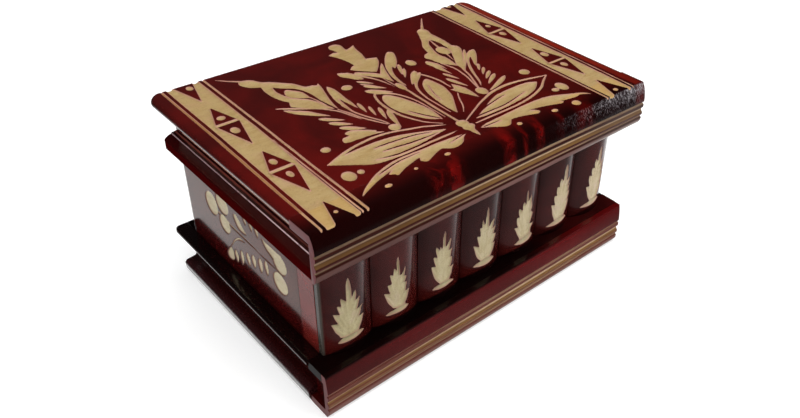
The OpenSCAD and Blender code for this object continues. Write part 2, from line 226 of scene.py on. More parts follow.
# ------------------------------------------------------------------ the ornament on the lid (x, y in mm)
def lid_ornament():
    c = Carving()
    # borders
    c.cut([(-78.85, -0.6), (-78.1, 34.7), (-77.4, 68), (-77.05, 110), (-77.0, 116), (-63.05, 116),
           (-63.5, 68), (-64.0, 50), (-64.9, 34.7), (-65.2, 3), (-65.3, -0.6)])
    c.stroke([(-80.6, -0.3), (-80.0, 34.7), (-79.3, 68), (-78.95, 116)], [0.85, 1.15, 1.15, 1.0], n=2)
    c.stroke([(-64.5, -0.3), (-64.15, 34.7), (-63.6, 56)], [0.65, 0.55, 0.2], n=2)
    c.stroke([(-62.45, -0.3), (-62.15, 34.7), (-61.5, 68), (-61.2, 116)], 1.0, n=2)
    c.cut([(61.8, -0.6), (62.2, 34.7), (62.8, 68), (63.2, 110), (63.2, 116), (78.3, 116), (78.15, 109.7),
           (77.35, 68), (76.9, 34.7), (75.9, 3), (75.7, -0.6)])
    c.stroke([(60.45, -0.3), (60.7, 34.7), (61.3, 68), (61.8, 116)], 0.85, n=2)
    c.stroke([(77.4, -0.3), (78.5, 34.7), (79.0, 68), (79.7, 116)], 0.55, n=2)
    for pts in ([(-74.6, 117), (-65.1, 117), (-70.0, 98.2)],
                [(-70.1, 91.2), (-65.9, 76.4), (-70.6, 58.6), (-75.2, 76.6)],
                [(-70.7, 51.9), (-66.4, 37.6), (-71.2, 20.2), (-76.1, 37.4)],
                [(-71.5, 12.9), (-67.0, -1.8), (-75.8, -1.8)],
                [(68.5, 117), (76.6, 117), (71.9, 100)],
                [(71.6, 92.6), (75.8, 77), (70.5, 60), (65.9, 76.9)],
                [(70.3, 53.4), (75.0, 37.2), (69.7, 20.6), (65.0, 37.3)],
                [(69.4, 14.1), (74.8, -1.8), (64.1, -1.8)]):
        c.leave(pts)
    c.stroke([(-74.7, 77.0), (-66.7, 77.0)], 1.7)
    c.stroke([(-75.4, 37.8), (-67.2, 37.8)], 1.6)
    c.stroke([(66.6, 76.9), (75.1, 77.1)], 1.5)
    c.stroke([(65.8, 37.3), (74.3, 37.3)], 1.4)
    for x, y, rx, ry in ((-68.7, 110.7, 1.4, 1.9), (-70.6, 81.7, 1.7, 1.6), (-70.9, 70.5, 1.7, 2.4), (-71.4, 43.3, 1.4, 2.0),
                         (-71.0, 33.0, 1.2, 2.1), (-71.5, 5.2, 0.8, 0.8), (72.4, 113.6, 1.4, 1.6), (71.7, 83.7, 1.2, 1.5),
                         (71.2, 73.0, 1.5, 2.0), (70.3, 45.2, 1.7, 2.3), (69.8, 32.8, 1.5, 2.0), (69.0, 2.9, 1.2, 1.1)):
        c.dot(x, y, rx, ry)

    # heart bud
    c.shape([(-1.2, 24.6), (-2.8, 24.0), (-3.7, 22.5), (-3.6, 21), (-3.1, 19.9), (-3.6, 18.7), (-3.4, 17.4), (-2.6, 16.4),
             (-2.4, 14), (-1.6, 10.8, 1), (-0.8, 13), (-0.2, 15.6), (0.7, 16.9), (1.8, 18), (1.8, 19.2), (1.1, 20.2),
             (1.5, 21.8), (0.8, 23.6)])
    # big leaf to the left
    c.shape([(-58.4, 29.6, 1), (-55, 31.0), (-50, 32.9), (-45, 34.2), (-40, 34.9), (-35, 35.3), (-30, 34.9), (-25, 33.6),
             (-20, 31.8), (-15, 30.0), (-10, 27.2), (-6, 24.7, 1), (-10, 26.3), (-15, 29.0), (-20, 30.7), (-25, 32.6),
             (-30, 33.7), (-35, 34.0), (-40, 33.7), (-45, 32.9), (-49.2, 31.6, 1), (-45, 31.7), (-40, 31.9), (-35, 31.7),
             (-30, 31.1), (-25, 29.9), (-20, 27.9), (-15, 25.7), (-8.6, 22.5, 1), (-15, 21.6), (-20, 20.8), (-25, 20.35),
             (-30, 20.25), (-34, 20.4), (-38, 21.1), (-42.5, 22.1, 1), (-40, 21.2), (-37, 20.2), (-34, 19.6), (-30, 19.4),
             (-25, 19.4), (-20, 19.5), (-15, 19.5), (-10, 19.4), (-6, 19.1, 1), (-10, 18.5), (-15, 18.4), (-20, 18.4),
             (-25, 18.3), (-30, 18.3), (-35, 18.4), (-40, 18.9), (-44, 19.7), (-47, 21.2), (-50, 23.5), (-55, 27.1)], n=3)
    c.stroke([(-38.4, 28.5), (-35, 28.4), (-30, 27.9), (-25, 27.3), (-20, 26.3), (-14.5, 24.4)], [0.3, 0.75, 0.75, 0.75, 0.7, 0.3], add=False)
    c.stroke([(-36.9, 24.9), (-32, 24.3), (-27, 23.4), (-22, 22.95), (-17, 22.65), (-12.5, 22.6)], [0.35, 0.8, 0.85, 0.75, 0.6, 0.25], add=False)
    # big leaf to the right
    c.stroke([(1.6, 22.7), (5, 24.5), (10, 27), (15, 29.5), (20, 31.5), (25, 33.3), (30, 34.1), (35, 34.5), (40, 34.0),
              (45, 33.0), (50, 31.6), (55.3, 30.2)], [0.5, 0.7, 0.8, 0.9, 1.1, 1.3, 1.4, 1.4, 1.35, 1.2, 1.1, 0.5])
    c.stroke([(3.2, 18.9), (10, 19.0), (20, 19.0), (25, 19.1), (30, 19.5), (35, 20.3), (40, 21.6), (45, 23.6), (47.5, 25.2),
              (50, 27.0), (52, 28.3), (55.4, 30.3)], [0.5, 0.9, 0.9, 1.0, 1.05, 1.15, 1.2, 1.2, 1.1, 1.0, 0.9, 0.5])
    c.shape([(47.6, 28.4, 1), (45, 30), (42, 30.8), (38, 31.1), (33, 31.1), (28, 30.8), (25, 30.4), (20, 28.5), (15, 26.1),
             (10, 23.6), (5.3, 21.4, 1), (10, 20.75), (15, 20.6), (20, 20.6), (25, 21), (30, 21.5), (35, 22.1), (39, 23.1),
             (42, 24.2), (45, 26.1)])
    c.stroke([(7.5, 23.0), (12, 24.8), (16, 26.2), (20, 27.1), (24, 28.0), (28.7, 28.7)], [0.5, 0.55, 0.6, 0.6, 0.6, 0.25], add=False)
    c.stroke([(5.5, 22.2), (10, 22.4), (15, 22.4), (20, 22.4), (25, 22.9), (30, 23.9), (37.2, 25.5)],
             [0.7, 0.75, 0.7, 0.7, 0.65, 0.55, 0.2], add=False)
    # toothed leaf, lower left
    c.shape([(-60.4, 6.3, 1), (-57.5, 9.0), (-55, 10.8), (-50, 13.8), (-45, 15.8), (-40, 17.1), (-35, 17.6), (-30, 17.4),
             (-25, 17.1), (-20, 17.1), (-15, 16.8), (-10, 16.4), (-5.0, 15.6, 1), (-7.5, 14), (-9.5, 12), (-12, 10.8),
             (-15.5, 10.5), (-17.5, 11.7), (-19.4, 13.0, 1), (-22.5, 12.2), (-25, 11.2), (-27.5, 10.1), (-29.3, 9.8),
             (-30.6, 11.5), (-29.6, 13.4, 1), (-32, 12.9), (-35, 12.1), (-38.5, 11.0), (-42.7, 9.1, 1), (-43.3, 10.5),
             (-44.9, 11.5), (-42.0, 13.4, 1), (-45, 12.4), (-50, 10.9), (-55, 8.8)])
    c.stroke([(-47.5, 13.7), (-45, 14.4), (-42, 15.1), (-40, 15.6), (-35, 16.25), (-27.2, 16.3)], [0.3, 0.6, 0.6, 0.6, 0.55, 0.2], add=False)
    c.stroke([(-13.8, 14.2), (-10, 15.0), (-5.6, 15.7)], [0.25, 0.5, 0.45], add=False)
    # toothed leaf, lower right
    c.shape([(2, 15.1, 1), (5, 16.1), (10, 16.5), (15, 16.8), (20, 17.05), (25, 17.3), (30, 17.45), (35, 17.3), (40, 16.75),
             (45, 15.1), (50, 12.6), (55.5, 9.8), (57.8, 6.8, 1), (54, 9.2), (51, 9.0), (48, 9.4), (45, 10.0), (42.6, 10.7, 1),
             (43.4, 9.5), (42, 8.9), (39, 10), (36, 11), (33, 12), (30, 12.7), (27.4, 13.2, 1), (29, 11.8), (29.8, 10),
             (28, 9.1), (25.5, 10), (23, 11), (20, 11.9), (16.2, 12.5, 1), (15, 11.4), (13.5, 10.0), (12, 9.6), (10, 10.2),
             (8, 11.4), (5, 13.4)])
    c.stroke([(3.8, 14.9), (9.5, 14.75), (12.6, 14.6)], [0.5, 0.6, 0.2], add=False)
    # round cuts low on the sides
    for a in ((-56.25, 19.25, 2.6, 3.1), (-51.4, 19, 1.35, 1.4), (-52.85, 38.35, 1.9, 1.8), (-49.25, 6.25, 1.45, 1.0),
              (-35.25, 8.6, 0.75, 0.7), (-20.25, 8.9, 1.3, 0.9), (52.85, 19, 2.5, 3.4), (48.4, 18.5, 1.8, 1.5),
              (50, 38.3, 2.5, 2.4), (16.25, 8.0, 1.2, 1.0), (34.9, 6.6, 1.5, 1.1), (46.75, 5.5, 2.0, 1.9),
              (-18.9, 72.9, 2.4, 2.1), (16.6, 75.0, 2.2, 2.8), (-23.3, 35.8, 2.4, 2.5), (23.3, 36.9, 2.4, 3.1)):
        c.dot(*a)

    # upright almonds
    c.shape([(-4.75, 29.2, 1), (-3.8, 34.75), (-3.8, 39.75), (-4.6, 44.75), (-5.9, 49.75), (-7.4, 54.1), (-9.3, 57.3),
             (-11.6, 58.4), (-14, 54.9), (-14.9, 49.75), (-14.6, 44.75), (-13.7, 41.6), (-11.5, 36.6), (-8.8, 32.2)])
    c.stroke([(-11.3, 42.4), (-9.3, 37.9), (-7.4, 34.1), (-5.2, 30.3)], [0.3, 0.75, 0.75, 0.5], add=False)
    c.stroke([(-7.0, 26.5), (-11.5, 31.4), (-14, 36.4), (-15.8, 41.6), (-16.4, 47.2), (-16.4, 51), (-15.7, 56), (-14.3, 60),
              (-13.0, 61.8)], [0.35, 0.7, 0.95, 1.15, 1.25, 1.2, 1.1, 1.1, 0.9])
    c.stroke([(-12.6, 61.4), (-9, 59.0), (-6.8, 56.6), (-5.2, 53.5), (-4.0, 49.7), (-3.4, 46), (-3.1, 41), (-3.0, 30)],
             [1.0, 1.2, 1.0, 0.9, 0.8, 0.7, 0.6, 0.4])
    c.shape([(3, 29.2, 1), (2.6, 34.75), (2.9, 39.75), (3.5, 44.75), (4.5, 49.75), (6.6, 54.75), (9.1, 57.9), (11.8, 59.2),
             (12.9, 56), (13.3, 51), (12.9, 47.25), (11, 41.6), (7.9, 36.6), (5.4, 32.9)])
    c.stroke([(5.2, 41.8), (6.6, 48), (9.2, 54.4)], [0.2, 0.4, 0.2], add=False)
    c.stroke([(1.3, 31.5), (1.3, 44), (1.6, 47.2), (2.25, 51), (3.5, 54.7), (5.4, 57.9), (7.9, 60.5), (11, 63), (13.3, 65.1)],
             [0.4, 0.7, 0.8, 0.95, 1.1, 1.3, 1.5, 1.7, 1.2])
    c.stroke([(5.4, 28.4), (8.5, 32.2), (11.6, 37.9), (14.1, 41.6)], [0.35, 0.6, 0.6, 0.5])
    c.stroke([(15.4, 47.4), (15.6, 53.5), (15.1, 57.2), (14.1, 61), (12.7, 64.2)], [0.5, 0.95, 1.0, 1.0, 0.8])
    # stem
    c.stroke([(-1.25, 24), (-1.2, 38), (-0.9, 48), (-0.6, 57)], [1.05, 1.1, 1.1, 1.1])
    c.dot(-0.6, 60.3, 1.5, 3.5)
    # plume in the middle
    c.shape([(-0.4, 110.7), (-2.7, 109.8), (-3.5, 107.6), (-2.9, 105.2), (-2.5, 102.9, 1), (-5.0, 103.4), (-7.8, 102.3, 1),
             (-6.3, 99.4), (-5.0, 95.4), (-4.4, 91.5), (-4.4, 88.0, 1), (-6.2, 87.2), (-8.3, 85.3, 1), (-6.5, 82.9),
             (-3.4, 79.8), (-0.4, 77.1, 1), (3.5, 81.0), (6.6, 85), (8.1, 88.3, 1), (4.75, 89.9), (3.5, 89.9, 1),
             (4.1, 92.3), (5.1, 95.4), (6, 101), (7.4, 105.0, 1), (4.6, 103.6), (2.1, 102.8, 1), (2.3, 105.2), (2.75, 107.6),
             (1.8, 109.8)])
    c.shape([(-9.4, 80.6, 1), (-8.1, 82.1), (-5.25, 80), (-2.1, 77), (-0.5, 74.6, 1), (1.1, 76.6), (3.5, 79.8), (6.4, 82.8, 1),
             (5.4, 80), (3.5, 76), (2.25, 72.9), (0.7, 68.5), (-0.2, 65.2, 1), (-1.2, 68), (-2.0, 71), (-4.4, 74.3), (-6.5, 77)])
    c.shape([(14.6, 89.6), (16.2, 89.3), (16.9, 87.7), (15.7, 84.8), (13, 80.3), (9.8, 76.6), (7.6, 74.7, 1), (8.2, 77.4, 1),
             (6.4, 75.2), (4.9, 72.6), (3.5, 69), (2.5, 65), (1.7, 59, 1), (1.0, 62), (1.3, 66.5), (2.3, 71.2), (4.5, 76.8),
             (7.2, 81.4), (11, 86.2)])
    c.shape([(-14.8, 85.7), (-12.9, 85.0), (-10.6, 83.4), (-8.6, 80.0, 1), (-6.4, 76.2), (-4.4, 71.6), (-3.2, 66.5),
             (-2.9, 60.5, 1), (-3.7, 66), (-5.0, 70.6), (-6.6, 74.0), (-8.6, 76.8, 1), (-8.9, 75.0), (-11.6, 76.6), (-13.3, 79.4),
             (-15.2, 82.4)])
    c.stroke([(-2.2, 72.0), (-1.9, 66), (-1.9, 60)], [0.25, 0.6, 0.25])
    c.chip(-12.8, 75.0, -7.6, 69.0, 1.7)
    c.chip(-13.0, 72.2, -8.3, 66.6, 1.2)
    c.chip(-12.9, 70.1, -6.1, 62.7, 2.3)
    c.chip(-15.0, 66.2, -6.0, 58.4, 3.4, -0.3)
    c.chip(-11.4, 60.6, -5.4, 55.6, 1.0)
    c.chip(11.4, 77.4, 6.5, 68.3, 1.8)
    c.chip(10.8, 72.8, 5.6, 65.2, 1.6)
    c.chip(13.0, 68.2, 3.9, 58.6, 3.4, 0.4)

    # plume to the left
    c.shape([(-44.7, 38.6), (-43.6, 40.9), (-40.4, 41.3, 1), (-40.9, 43.3), (-38.6, 44.2), (-35.8, 43.0), (-32.6, 40.6),
             (-30.0, 38.1, 1), (-30.8, 37.6, 1), (-28.0, 35.4, 1), (-33, 36.5), (-38, 37.0), (-43.6, 37.5)])
    c.chip(-40.0, 48.4, -31.9, 41.7, 2.7, -0.2)
    c.chip(-41.2, 53.7, -34.0, 47.3, 2.5, -0.2)
    c.chip(-42.4, 58.7, -34.6, 51.7, 2.3, -0.2)
    c.shape([(-49.4, 71.9), (-48.0, 71.6), (-45.6, 69.5), (-42, 66), (-40.0, 62.6), (-37.0, 57.4, 1), (-40.6, 60.2),
             (-44.0, 63.4), (-47.2, 67.2)])
    c.stroke([(-50.9, 75.1), (-48.6, 73.6), (-45.75, 71.4), (-41.4, 68.2), (-38.2, 65.8), (-35.1, 62.2), (-32.6, 58.3),
              (-31.0, 53.5), (-29.5, 48.5)], [0.4, 1.1, 1.3, 1.1, 0.9, 0.9, 0.8, 0.7, 0.3])
    c.stroke([(-32.2, 60.4), (-30.2, 54.7), (-28.9, 49.7), (-26.4, 44.1), (-23.9, 39.3)], [0.4, 0.85, 0.85, 0.8, 0.5])
    c.stroke([(-29.0, 62), (-28.6, 56), (-27.8, 52.2), (-26.0, 47.2), (-23.9, 42.2), (-23.2, 39)], [0.8, 0.85, 0.85, 0.8, 0.7, 0.4])
    c.shape([(-24.8, 78.9, 1), (-23.7, 75.4), (-23.8, 71), (-24.4, 66), (-24.5, 61.5), (-25.4, 55.8, 1), (-26.2, 61),
             (-26.9, 67.5, 1), (-27.6, 62), (-28.2, 56, 1), (-29.1, 59), (-29.0, 66), (-27.9, 71), (-26.4, 76)])
    c.chip(-23.3, 59.8, -24.7, 51.2, 1.7)
    c.chip(-21.3, 55.1, -23.4, 46.9, 1.4)
    c.chip(-18.7, 52.0, -21.9, 42.4, 1.8)
    c.chip(-16.9, 48.4, -21.2, 34.2, 2.5, -0.5)
    c.shape([(-43.7, 98.4), (-40.75, 96.1), (-37, 92.4), (-34.1, 89.1), (-32.2, 84.75, 1), (-31.2, 83.7), (-28.8, 83.2),
             (-27.4, 82.2), (-25.9, 83.6, 1), (-27, 78.5), (-28.6, 73.5), (-30.1, 68.5), (-31.1, 64.1), (-31.8, 60.0, 1),
             (-32.4, 64.5), (-33.2, 70.5), (-33.2, 75.4), (-33.6, 79.1), (-34.8, 82.9), (-37, 86), (-40.1, 88.5), (-42.5, 91.4, 1),
             (-43.2, 87.2), (-42.6, 82.9), (-41.1, 79.1), (-38.7, 76.4), (-36.2, 73.5), (-34.6, 69.5), (-32.7, 61.3, 1),
             (-37, 64.9), (-41.4, 68.7), (-44.9, 72.3), (-45.1, 73.9), (-43.9, 76.6, 1), (-45.5, 79.7), (-46.7, 84.75),
             (-46.8, 89.75), (-46.2, 94.1), (-47.2, 94.9), (-50.2, 97.3), (-51.8, 101.3), (-50.4, 103.9), (-47.5, 103.3),
             (-45.4, 101.5)])
    c.shape([(-40.9, 85.0), (-42.0, 81.7), (-40.5, 78.6), (-37.8, 76.3), (-35.2, 74.6, 1), (-35.0, 78.2), (-35.5, 81.4),
             (-37.6, 84.4), (-39.4, 86.2)])
    c.stroke([(-35.3, 75.4), (-34.4, 71.0), (-33.6, 66.0)], [0.5, 0.55, 0.3])
    c.stroke([(-49.6, 103.2), (-53, 106.3), (-57.4, 110.8)], [1.4, 0.9, 0.35])

    # plume to the right
    c.shape([(42.2, 100.5), (40.1, 99.3), (38.8, 96.8), (37, 93.5), (34.5, 89.1), (31.4, 84.75), (30.0, 81), (29.2, 78.3, 1),
             (26.6, 77.5), (24.6, 74.9), (25.6, 72.2, 1), (26.2, 68.5), (27.6, 65.2), (31.2, 60.2, 1), (32.2, 66), (32.5, 69.75),
             (31.9, 73.5), (32.6, 77.25), (33.9, 81), (35.75, 85.4), (38.8, 88.7, 1), (40.1, 84.5), (39.9, 78.5), (38.9, 74.1),
             (36.8, 70.6), (34.3, 66.4), (32.2, 63.1, 1), (31.0, 59.5), (30.9, 55.0, 1), (33.9, 58.5), (37, 62.9), (40.75, 67.9),
             (43.8, 72.25), (44.6, 75.4), (43.0, 78.0, 1), (43.7, 82.9), (43.9, 87.9), (43.7, 92.9), (44.9, 97.25), (44.0, 100.0)])
    c.dot(36.25, 76.0, 2.9, 4.2)
    c.stroke([(36.7, 79.5), (37.6, 84.0), (38.6, 88.3)], [1.2, 0.9, 0.4])
    c.stroke([(35.2, 72.5), (34.4, 69.5), (33.5, 66)], [0.8, 0.6, 0.3])
    c.stroke([(43.6, 99.6), (47, 104.0), (51.9, 110.1)], [1.5, 1.0, 0.4])
    c.stroke([(44.1, 70.6), (41.6, 67.4), (38.9, 64.2), (35.2, 60.2), (32.4, 57.0)], [0.9, 1.7, 1.5, 1.1, 0.4])
    c.shape([(25.5, 39.4, 1), (28.0, 43.8), (30.4, 49.3), (33.2, 55.2), (36.8, 60.7), (40.4, 65.2), (43.7, 67.9), (46.6, 69.0), (48.0, 68.1),
             (46.0, 64.5), (41.9, 59.7), (37.6, 55.2, 1), (37.9, 57.1), (39.6, 60.0), (41.9, 64.0, 1), (40.0, 62.6), (37.1, 59.1),
             (34.3, 54.5), (31.3, 48.7), (28.9, 43.6)])
    c.chip(39.6, 56.6, 35.4, 51.2, 1.5)
    c.chip(39.3, 52.7, 34.0, 47.4, 1.6)
    c.chip(39.0, 48.7, 32.2, 43.6, 1.9)
    c.chip(38.9, 45.3, 29.7, 39.6, 2.1)
    c.chip(41.1, 41.2, 25.6, 35.0, 2.5, 0.5)
    c.stroke([(26.8, 66.5), (28.25, 59.75), (27.9, 54.75), (27, 49.75), (25.4, 44.75), (23.8, 39.6)], [0.6, 0.85, 0.85, 0.8, 0.75, 0.4])
    c.stroke([(30.9, 57.0), (29.2, 51), (27.6, 47.2), (26, 43.5), (24.4, 39.8)], [0.8, 0.9, 0.8, 0.7, 0.4])
    c.shape([(22.9, 72.2), (21.3, 70.2), (21.9, 66), (22.2, 62.2), (24.0, 55.6, 1), (24.2, 61.0), (24.6, 64.0, 1), (25.4, 60.6, 1),
             (25.6, 66.0), (24.7, 69.2)])
    c.chip(20.8, 58.9, 23.3, 50.4, 1.7)
    c.chip(18.8, 54.5, 21.8, 43.4, 2.1)
    c.shape([(13.7, 45.7, 1), (15.6, 45.4, 1), (17.2, 49.1, 1), (18.4, 47), (19.7, 43), (19.6, 38.6), (18.9, 33.4, 1), (17.3, 36.8),
             (15.3, 41.2)])
    return c


# ------------------------------------------------------------------ the branch on the side panels (u = y back from the front, v = z)
def side_ornament():
    c = Carving()
    c.dot(34.0, 49.2, 4.7, 4.7)
    c.shape([(32.0, 53.4), (36.0, 53.8), (41.0, 53.9), (46.3, 54.3, 1), (43.6, 51.0), (40.6, 49.6), (37.5, 49.0)])
    c.dot(35.0, 39.3, 5.1, 5.0)
    c.stroke([(36.0, 45.0), (46, 45.1), (55, 45.4), (62, 45.6), (70, 45.9), (80, 46.9)], [0.3, 0.45, 0.6, 0.9, 1.1, 1.0])
    for a in ((44.9, 44.2, 44.4, 36.6, 2.9), (49.3, 42.7, 49.2, 34.9, 3.3), (54.6, 40.9, 54.4, 33.9, 3.4),
              (59.5, 39.0, 58.6, 32.3, 3.0), (64.2, 37.2, 64.4, 29.3, 2.9), (69.3, 34.3, 68.9, 27.7, 3.1)):
        c.chip(*a, blunt=0.42)
    c.shape([(72.0, 32.6), (73.8, 33.0), (75.4, 31.2), (77.2, 28.4), (76.6, 26.2), (74.0, 26.0), (71.8, 27.6), (71.4, 30.4)])
    c.stroke([(60.0, 43.4), (63.5, 42.8), (66, 41.7), (69, 39), (71, 36.4), (73.4, 33.4)], [0.5, 1.2, 1.2, 1.0, 0.8, 0.5])
    c.shape([(57.3, 48.5, 1), (60, 50.3), (62.4, 52.5), (65, 54.3), (67.0, 53.2), (66.2, 50.6), (63.8, 48.0), (60, 47.7)])
    for a in ((50.0, 58.0, 48.4, 52.3, 2.6), (54.2, 58.4, 52.8, 52.7, 2.6), (58.6, 58.8, 57.2, 53.1, 2.5)):
        c.chip(*a, blunt=0.42)
    c.dot(75.6, 53.3, 4.9, 5.0)
    c.dot(75.5, 43.4, 4.3, 4.4)
    c.dot(85.0, 48.5, 5.0, 5.5)
    return c


# ------------------------------------------------------------------ the leaves on the columns (u = x from the crest, v = z)
# tip, right side, left side (both from the tip down: t = point of a tooth, b = blunt tooth, n = notch), foot
LEAVES = (
    ((-0.9, 56.5),
     [(-0.2, 54), (0.2, 51), (0.3, 48), (0.6, 46.4, "n"), (1.2, 48), (2.0, 48.9, "t"), (2.4, 47), (2.3, 44.2, "n"), (3.8, 44.6, "t"),
      (3.6, 43), (3.0, 41), (2.9, 39.6, "n"), (5.3, 40.1, "t"), (4.6, 39), (4.2, 37.5), (3.9, 35.7, "n"), (5.4, 35, "t"), (5.2, 34.2),
      (4.4, 32), (3.2, 30), (2.4, 28.9)],
     [(-1.7, 54), (-1.9, 51), (-2.0, 48), (-2.1, 45.8, "n"), (-3.2, 47), (-3.8, 47.6, "t"), (-4.2, 47.3), (-4.4, 44.2, "n"),
      (-5.4, 44.7, "t"), (-5.3, 43), (-5.1, 40.5, "n"), (-6.8, 41.1, "t"), (-6.5, 39), (-6.1, 36.4, "n"), (-7.6, 36.3, "t"),
      (-7.2, 34.5), (-6.6, 32.5), (-5.4, 30.5), (-4.2, 29)],
     [(-6.0, 26.9, 1), (-4.8, 28.2), (-3.6, 28.9), (-1, 29.0), (2.4, 28.8), (4.2, 28.4), (5.6, 27.4, 1), (4, 26.8), (2, 26.4),
      (-0.9, 26.2), (-3.6, 26.2), (-5.6, 26.5)]),
    ((-1.1, 54.5),
     [(-0.7, 52), (-0.5, 50), (-0.4, 48.5), (-0.3, 46), (-0.2, 44.8, "n"), (1.0, 45.2), (2.3, 47.6, "t"), (2.4, 46.5), (2.2, 43.4, "n"),
      (2.9, 42.5, "b"), (2.2, 40.3, "n"), (3.0, 39.5, "b"), (2.8, 35.6, "n"), (4.3, 35.2, "t"), (4, 34), (3.2, 31.5), (2.2, 30), (2, 29)],
     [(-1.7, 52), (-1.7, 49), (-1.8, 47.6, "n"), (-2.8, 49.2, "t"), (-3.5, 46, "n"), (-4.4, 46.4, "t"), (-4.2, 42, "n"),
      (-5.3, 41.5, "t"), (-5, 39), (-5, 37.6, "n"), (-6.6, 37.8, "t"), (-6.2, 35.5), (-5.4, 33), (-4.2, 31), (-2.8, 29.4)],
     [(-6.5, 26.9, 1), (-5, 28.2), (-3.4, 28.6), (-1, 29.1), (2, 29), (4.2, 27.6, 1), (2.5, 26.7), (0, 26.5), (-3, 26.6), (-5.5, 26.6)]),
    ((-0.7, 54.8),
     [(-0.3, 53), (-0.2, 50.5), (-0.2, 47.5), (0.3, 46.7, "n"), (1, 47.8), (2.4, 49.6, "t"), (2.6, 48), (1.9, 44.2, "n"), (3.4, 44, "t"),
      (3.2, 43), (3.0, 40.3, "n"), (3.7, 39.5, "b"), (3.4, 37), (2.9, 35.3, "n"), (4.6, 34.9, "t"), (4, 33.5), (3.6, 31.5), (2.6, 29.8), (2.2, 29)],
     [(-1.4, 52), (-1.6, 49), (-1.9, 46.5, "n"), (-2.8, 47.8, "t"), (-3, 46, "n"), (-4.4, 48.1, "t"), (-4.6, 46), (-4.4, 43, "n"),
      (-5.4, 43.2, "t"), (-5.2, 41), (-5.1, 38.6, "n"), (-6.1, 38.6, "t"), (-6, 36.5), (-5.4, 34), (-4.6, 31.8), (-3.2, 29.8), (-2, 28.8)],
     [(-5.8, 26.9, 1), (-4.4, 28.2), (-2, 28.8), (0, 29.1), (2.2, 28.9), (3.8, 28), (5.4, 26.7, 1), (3.5, 26.6), (0, 26.3), (-3, 26.3), (-5.3, 26.6)]),
    ((-0.3, 55.6),
     [(0.1, 53.5), (0.4, 50.5), (0.6, 47.5), (0.9, 45.2, "n"), (2.2, 46.8), (3.9, 47.7, "t"), (4, 46.8), (3.6, 43, "n"), (5.0, 43.5, "t"),
      (4.6, 40, "n"), (5.7, 38.6, "t"), (5, 36.5), (4.6, 35, "n"), (5.4, 34.6, "t"), (4.6, 32), (3.4, 30), (2.4, 28.9)],
     [(-0.8, 53.5), (-1.1, 50.5), (-1.3, 48), (-1.9, 47.3, "n"), (-2.6, 49.8, "t"), (-3, 48), (-3.2, 46.2, "n"), (-3.8, 46, "t"),
      (-3.6, 44), (-3.8, 42, "n"), (-4.8, 42.1, "t"), (-4.6, 40), (-4.2, 36.6, "n"), (-6.2, 37.7, "t"), (-5.8, 35.5), (-5.2, 33),
      (-4.4, 31), (-3, 29.2), (-2.2, 28.6)],
     [(-6.3, 26.7, 1), (-4.5, 28.2), (-2.4, 28.7), (0, 29.1), (2.4, 28.9), (4.2, 28.0), (5.6, 26.6, 1), (3.5, 25.8), (0, 25.6), (-3, 25.9), (-5.6, 26.4)]),
    ((0.3, 53.6),
     [(0.7, 51.5), (0.9, 49.5), (1.3, 47.6, "n"), (3.0, 50, "t"), (3.3, 48.5), (3.6, 46), (4.2, 43.5), (3.9, 41.5, "n"), (5.4, 39, "t"),
      (4.6, 37), (4, 34.6, "n"), (6.8, 33, "t"), (5, 31.5), (4.6, 30), (4.6, 29)],
     [(-0.1, 52.5), (-0.1, 49), (-0.2, 46.3, "n"), (-1.3, 48, "t"), (-2, 46.5), (-2.3, 44, "n"), (-3.6, 45.3, "t"), (-3.8, 43),
      (-3.8, 41, "n"), (-4.2, 40.6, "t"), (-4.4, 38), (-4.2, 35.8, "n"), (-5.1, 35.4, "t"), (-4.4, 33.5), (-3.6, 31.5), (-2.6, 29.6), (-2, 28.6)],
     [(-4.8, 26.6, 1), (-3, 28), (-2, 28.5), (1, 29.1), (4.6, 29), (5.5, 28.4), (7.2, 26.8, 1), (5, 25.8), (0, 25.5), (-3, 26)]),
    ((2.0, 56.7),
     [(2.6, 55), (3, 52.5), (3.2, 49.5), (3.4, 47.6, "n"), (5.4, 48.7, "t"), (5.4, 46.8), (5.0, 43.8, "n"), (6.3, 44.6, "t"), (5.9, 40.6, "n"),
      (7.0, 40, "t"), (6.3, 37.4), (5.9, 35.8, "n"), (6.9, 35.5, "t"), (6.0, 32.2), (4.6, 30), (3.6, 28.8)],
     [(1.1, 55), (0.7, 52), (0.5, 48.6, "n"), (-0.9, 50, "t"), (-1.6, 48), (-1.8, 46, "n"), (-2.7, 46.3, "t"), (-2.9, 44), (-3, 41.8, "n"),
      (-3.6, 41.8, "t"), (-3.7, 39.5), (-3.6, 37, "n"), (-4.8, 37.2, "t"), (-4.4, 35), (-3.9, 32), (-3, 29.8), (-2, 28.2)],
     [(-6.7, 25.9, 1), (-4.5, 27.2), (-2, 28.2), (1, 28.8), (3.6, 28.7), (6.5, 26.5, 1), (4.0, 25.8), (0, 25.4), (-4, 25.5)]),
    ((2.6, 57.0),
     [(3.1, 54.5), (3.4, 51.5), (3.6, 49.0), (3.9, 47.0, "n"), (5.8, 49, "t"), (6.0, 47), (5.6, 44, "n"), (6.9, 45, "t"), (6.5, 41.2, "n"),
      (7.6, 40.5, "t"), (7.0, 37.6), (6.6, 35.9, "n"), (7.6, 35.5, "t"), (6.7, 32.2), (5.4, 30), (4.4, 28.8)],
     [(1.6, 55), (1.2, 52), (1.2, 49.6, "n"), (-0.3, 50.9, "t"), (-0.8, 49), (-0.9, 46.4, "n"), (-1.8, 46.6, "t"), (-2.1, 44.6),
      (-2.2, 42.6, "n"), (-3.0, 42.8, "t"), (-3.1, 40), (-2.9, 37.2, "n"), (-3.9, 36.8, "t"), (-3.3, 34), (-2.6, 31.5), (-1.2, 29), (-0.4, 28.2)],
     [(-6.4, 26.1, 1), (-4.0, 27.4), (-1, 28.3), (1.6, 28.9), (4.4, 28.7), (7.2, 26.6, 1), (4.4, 25.9), (0.5, 25.5), (-3.6, 25.7)]),
)


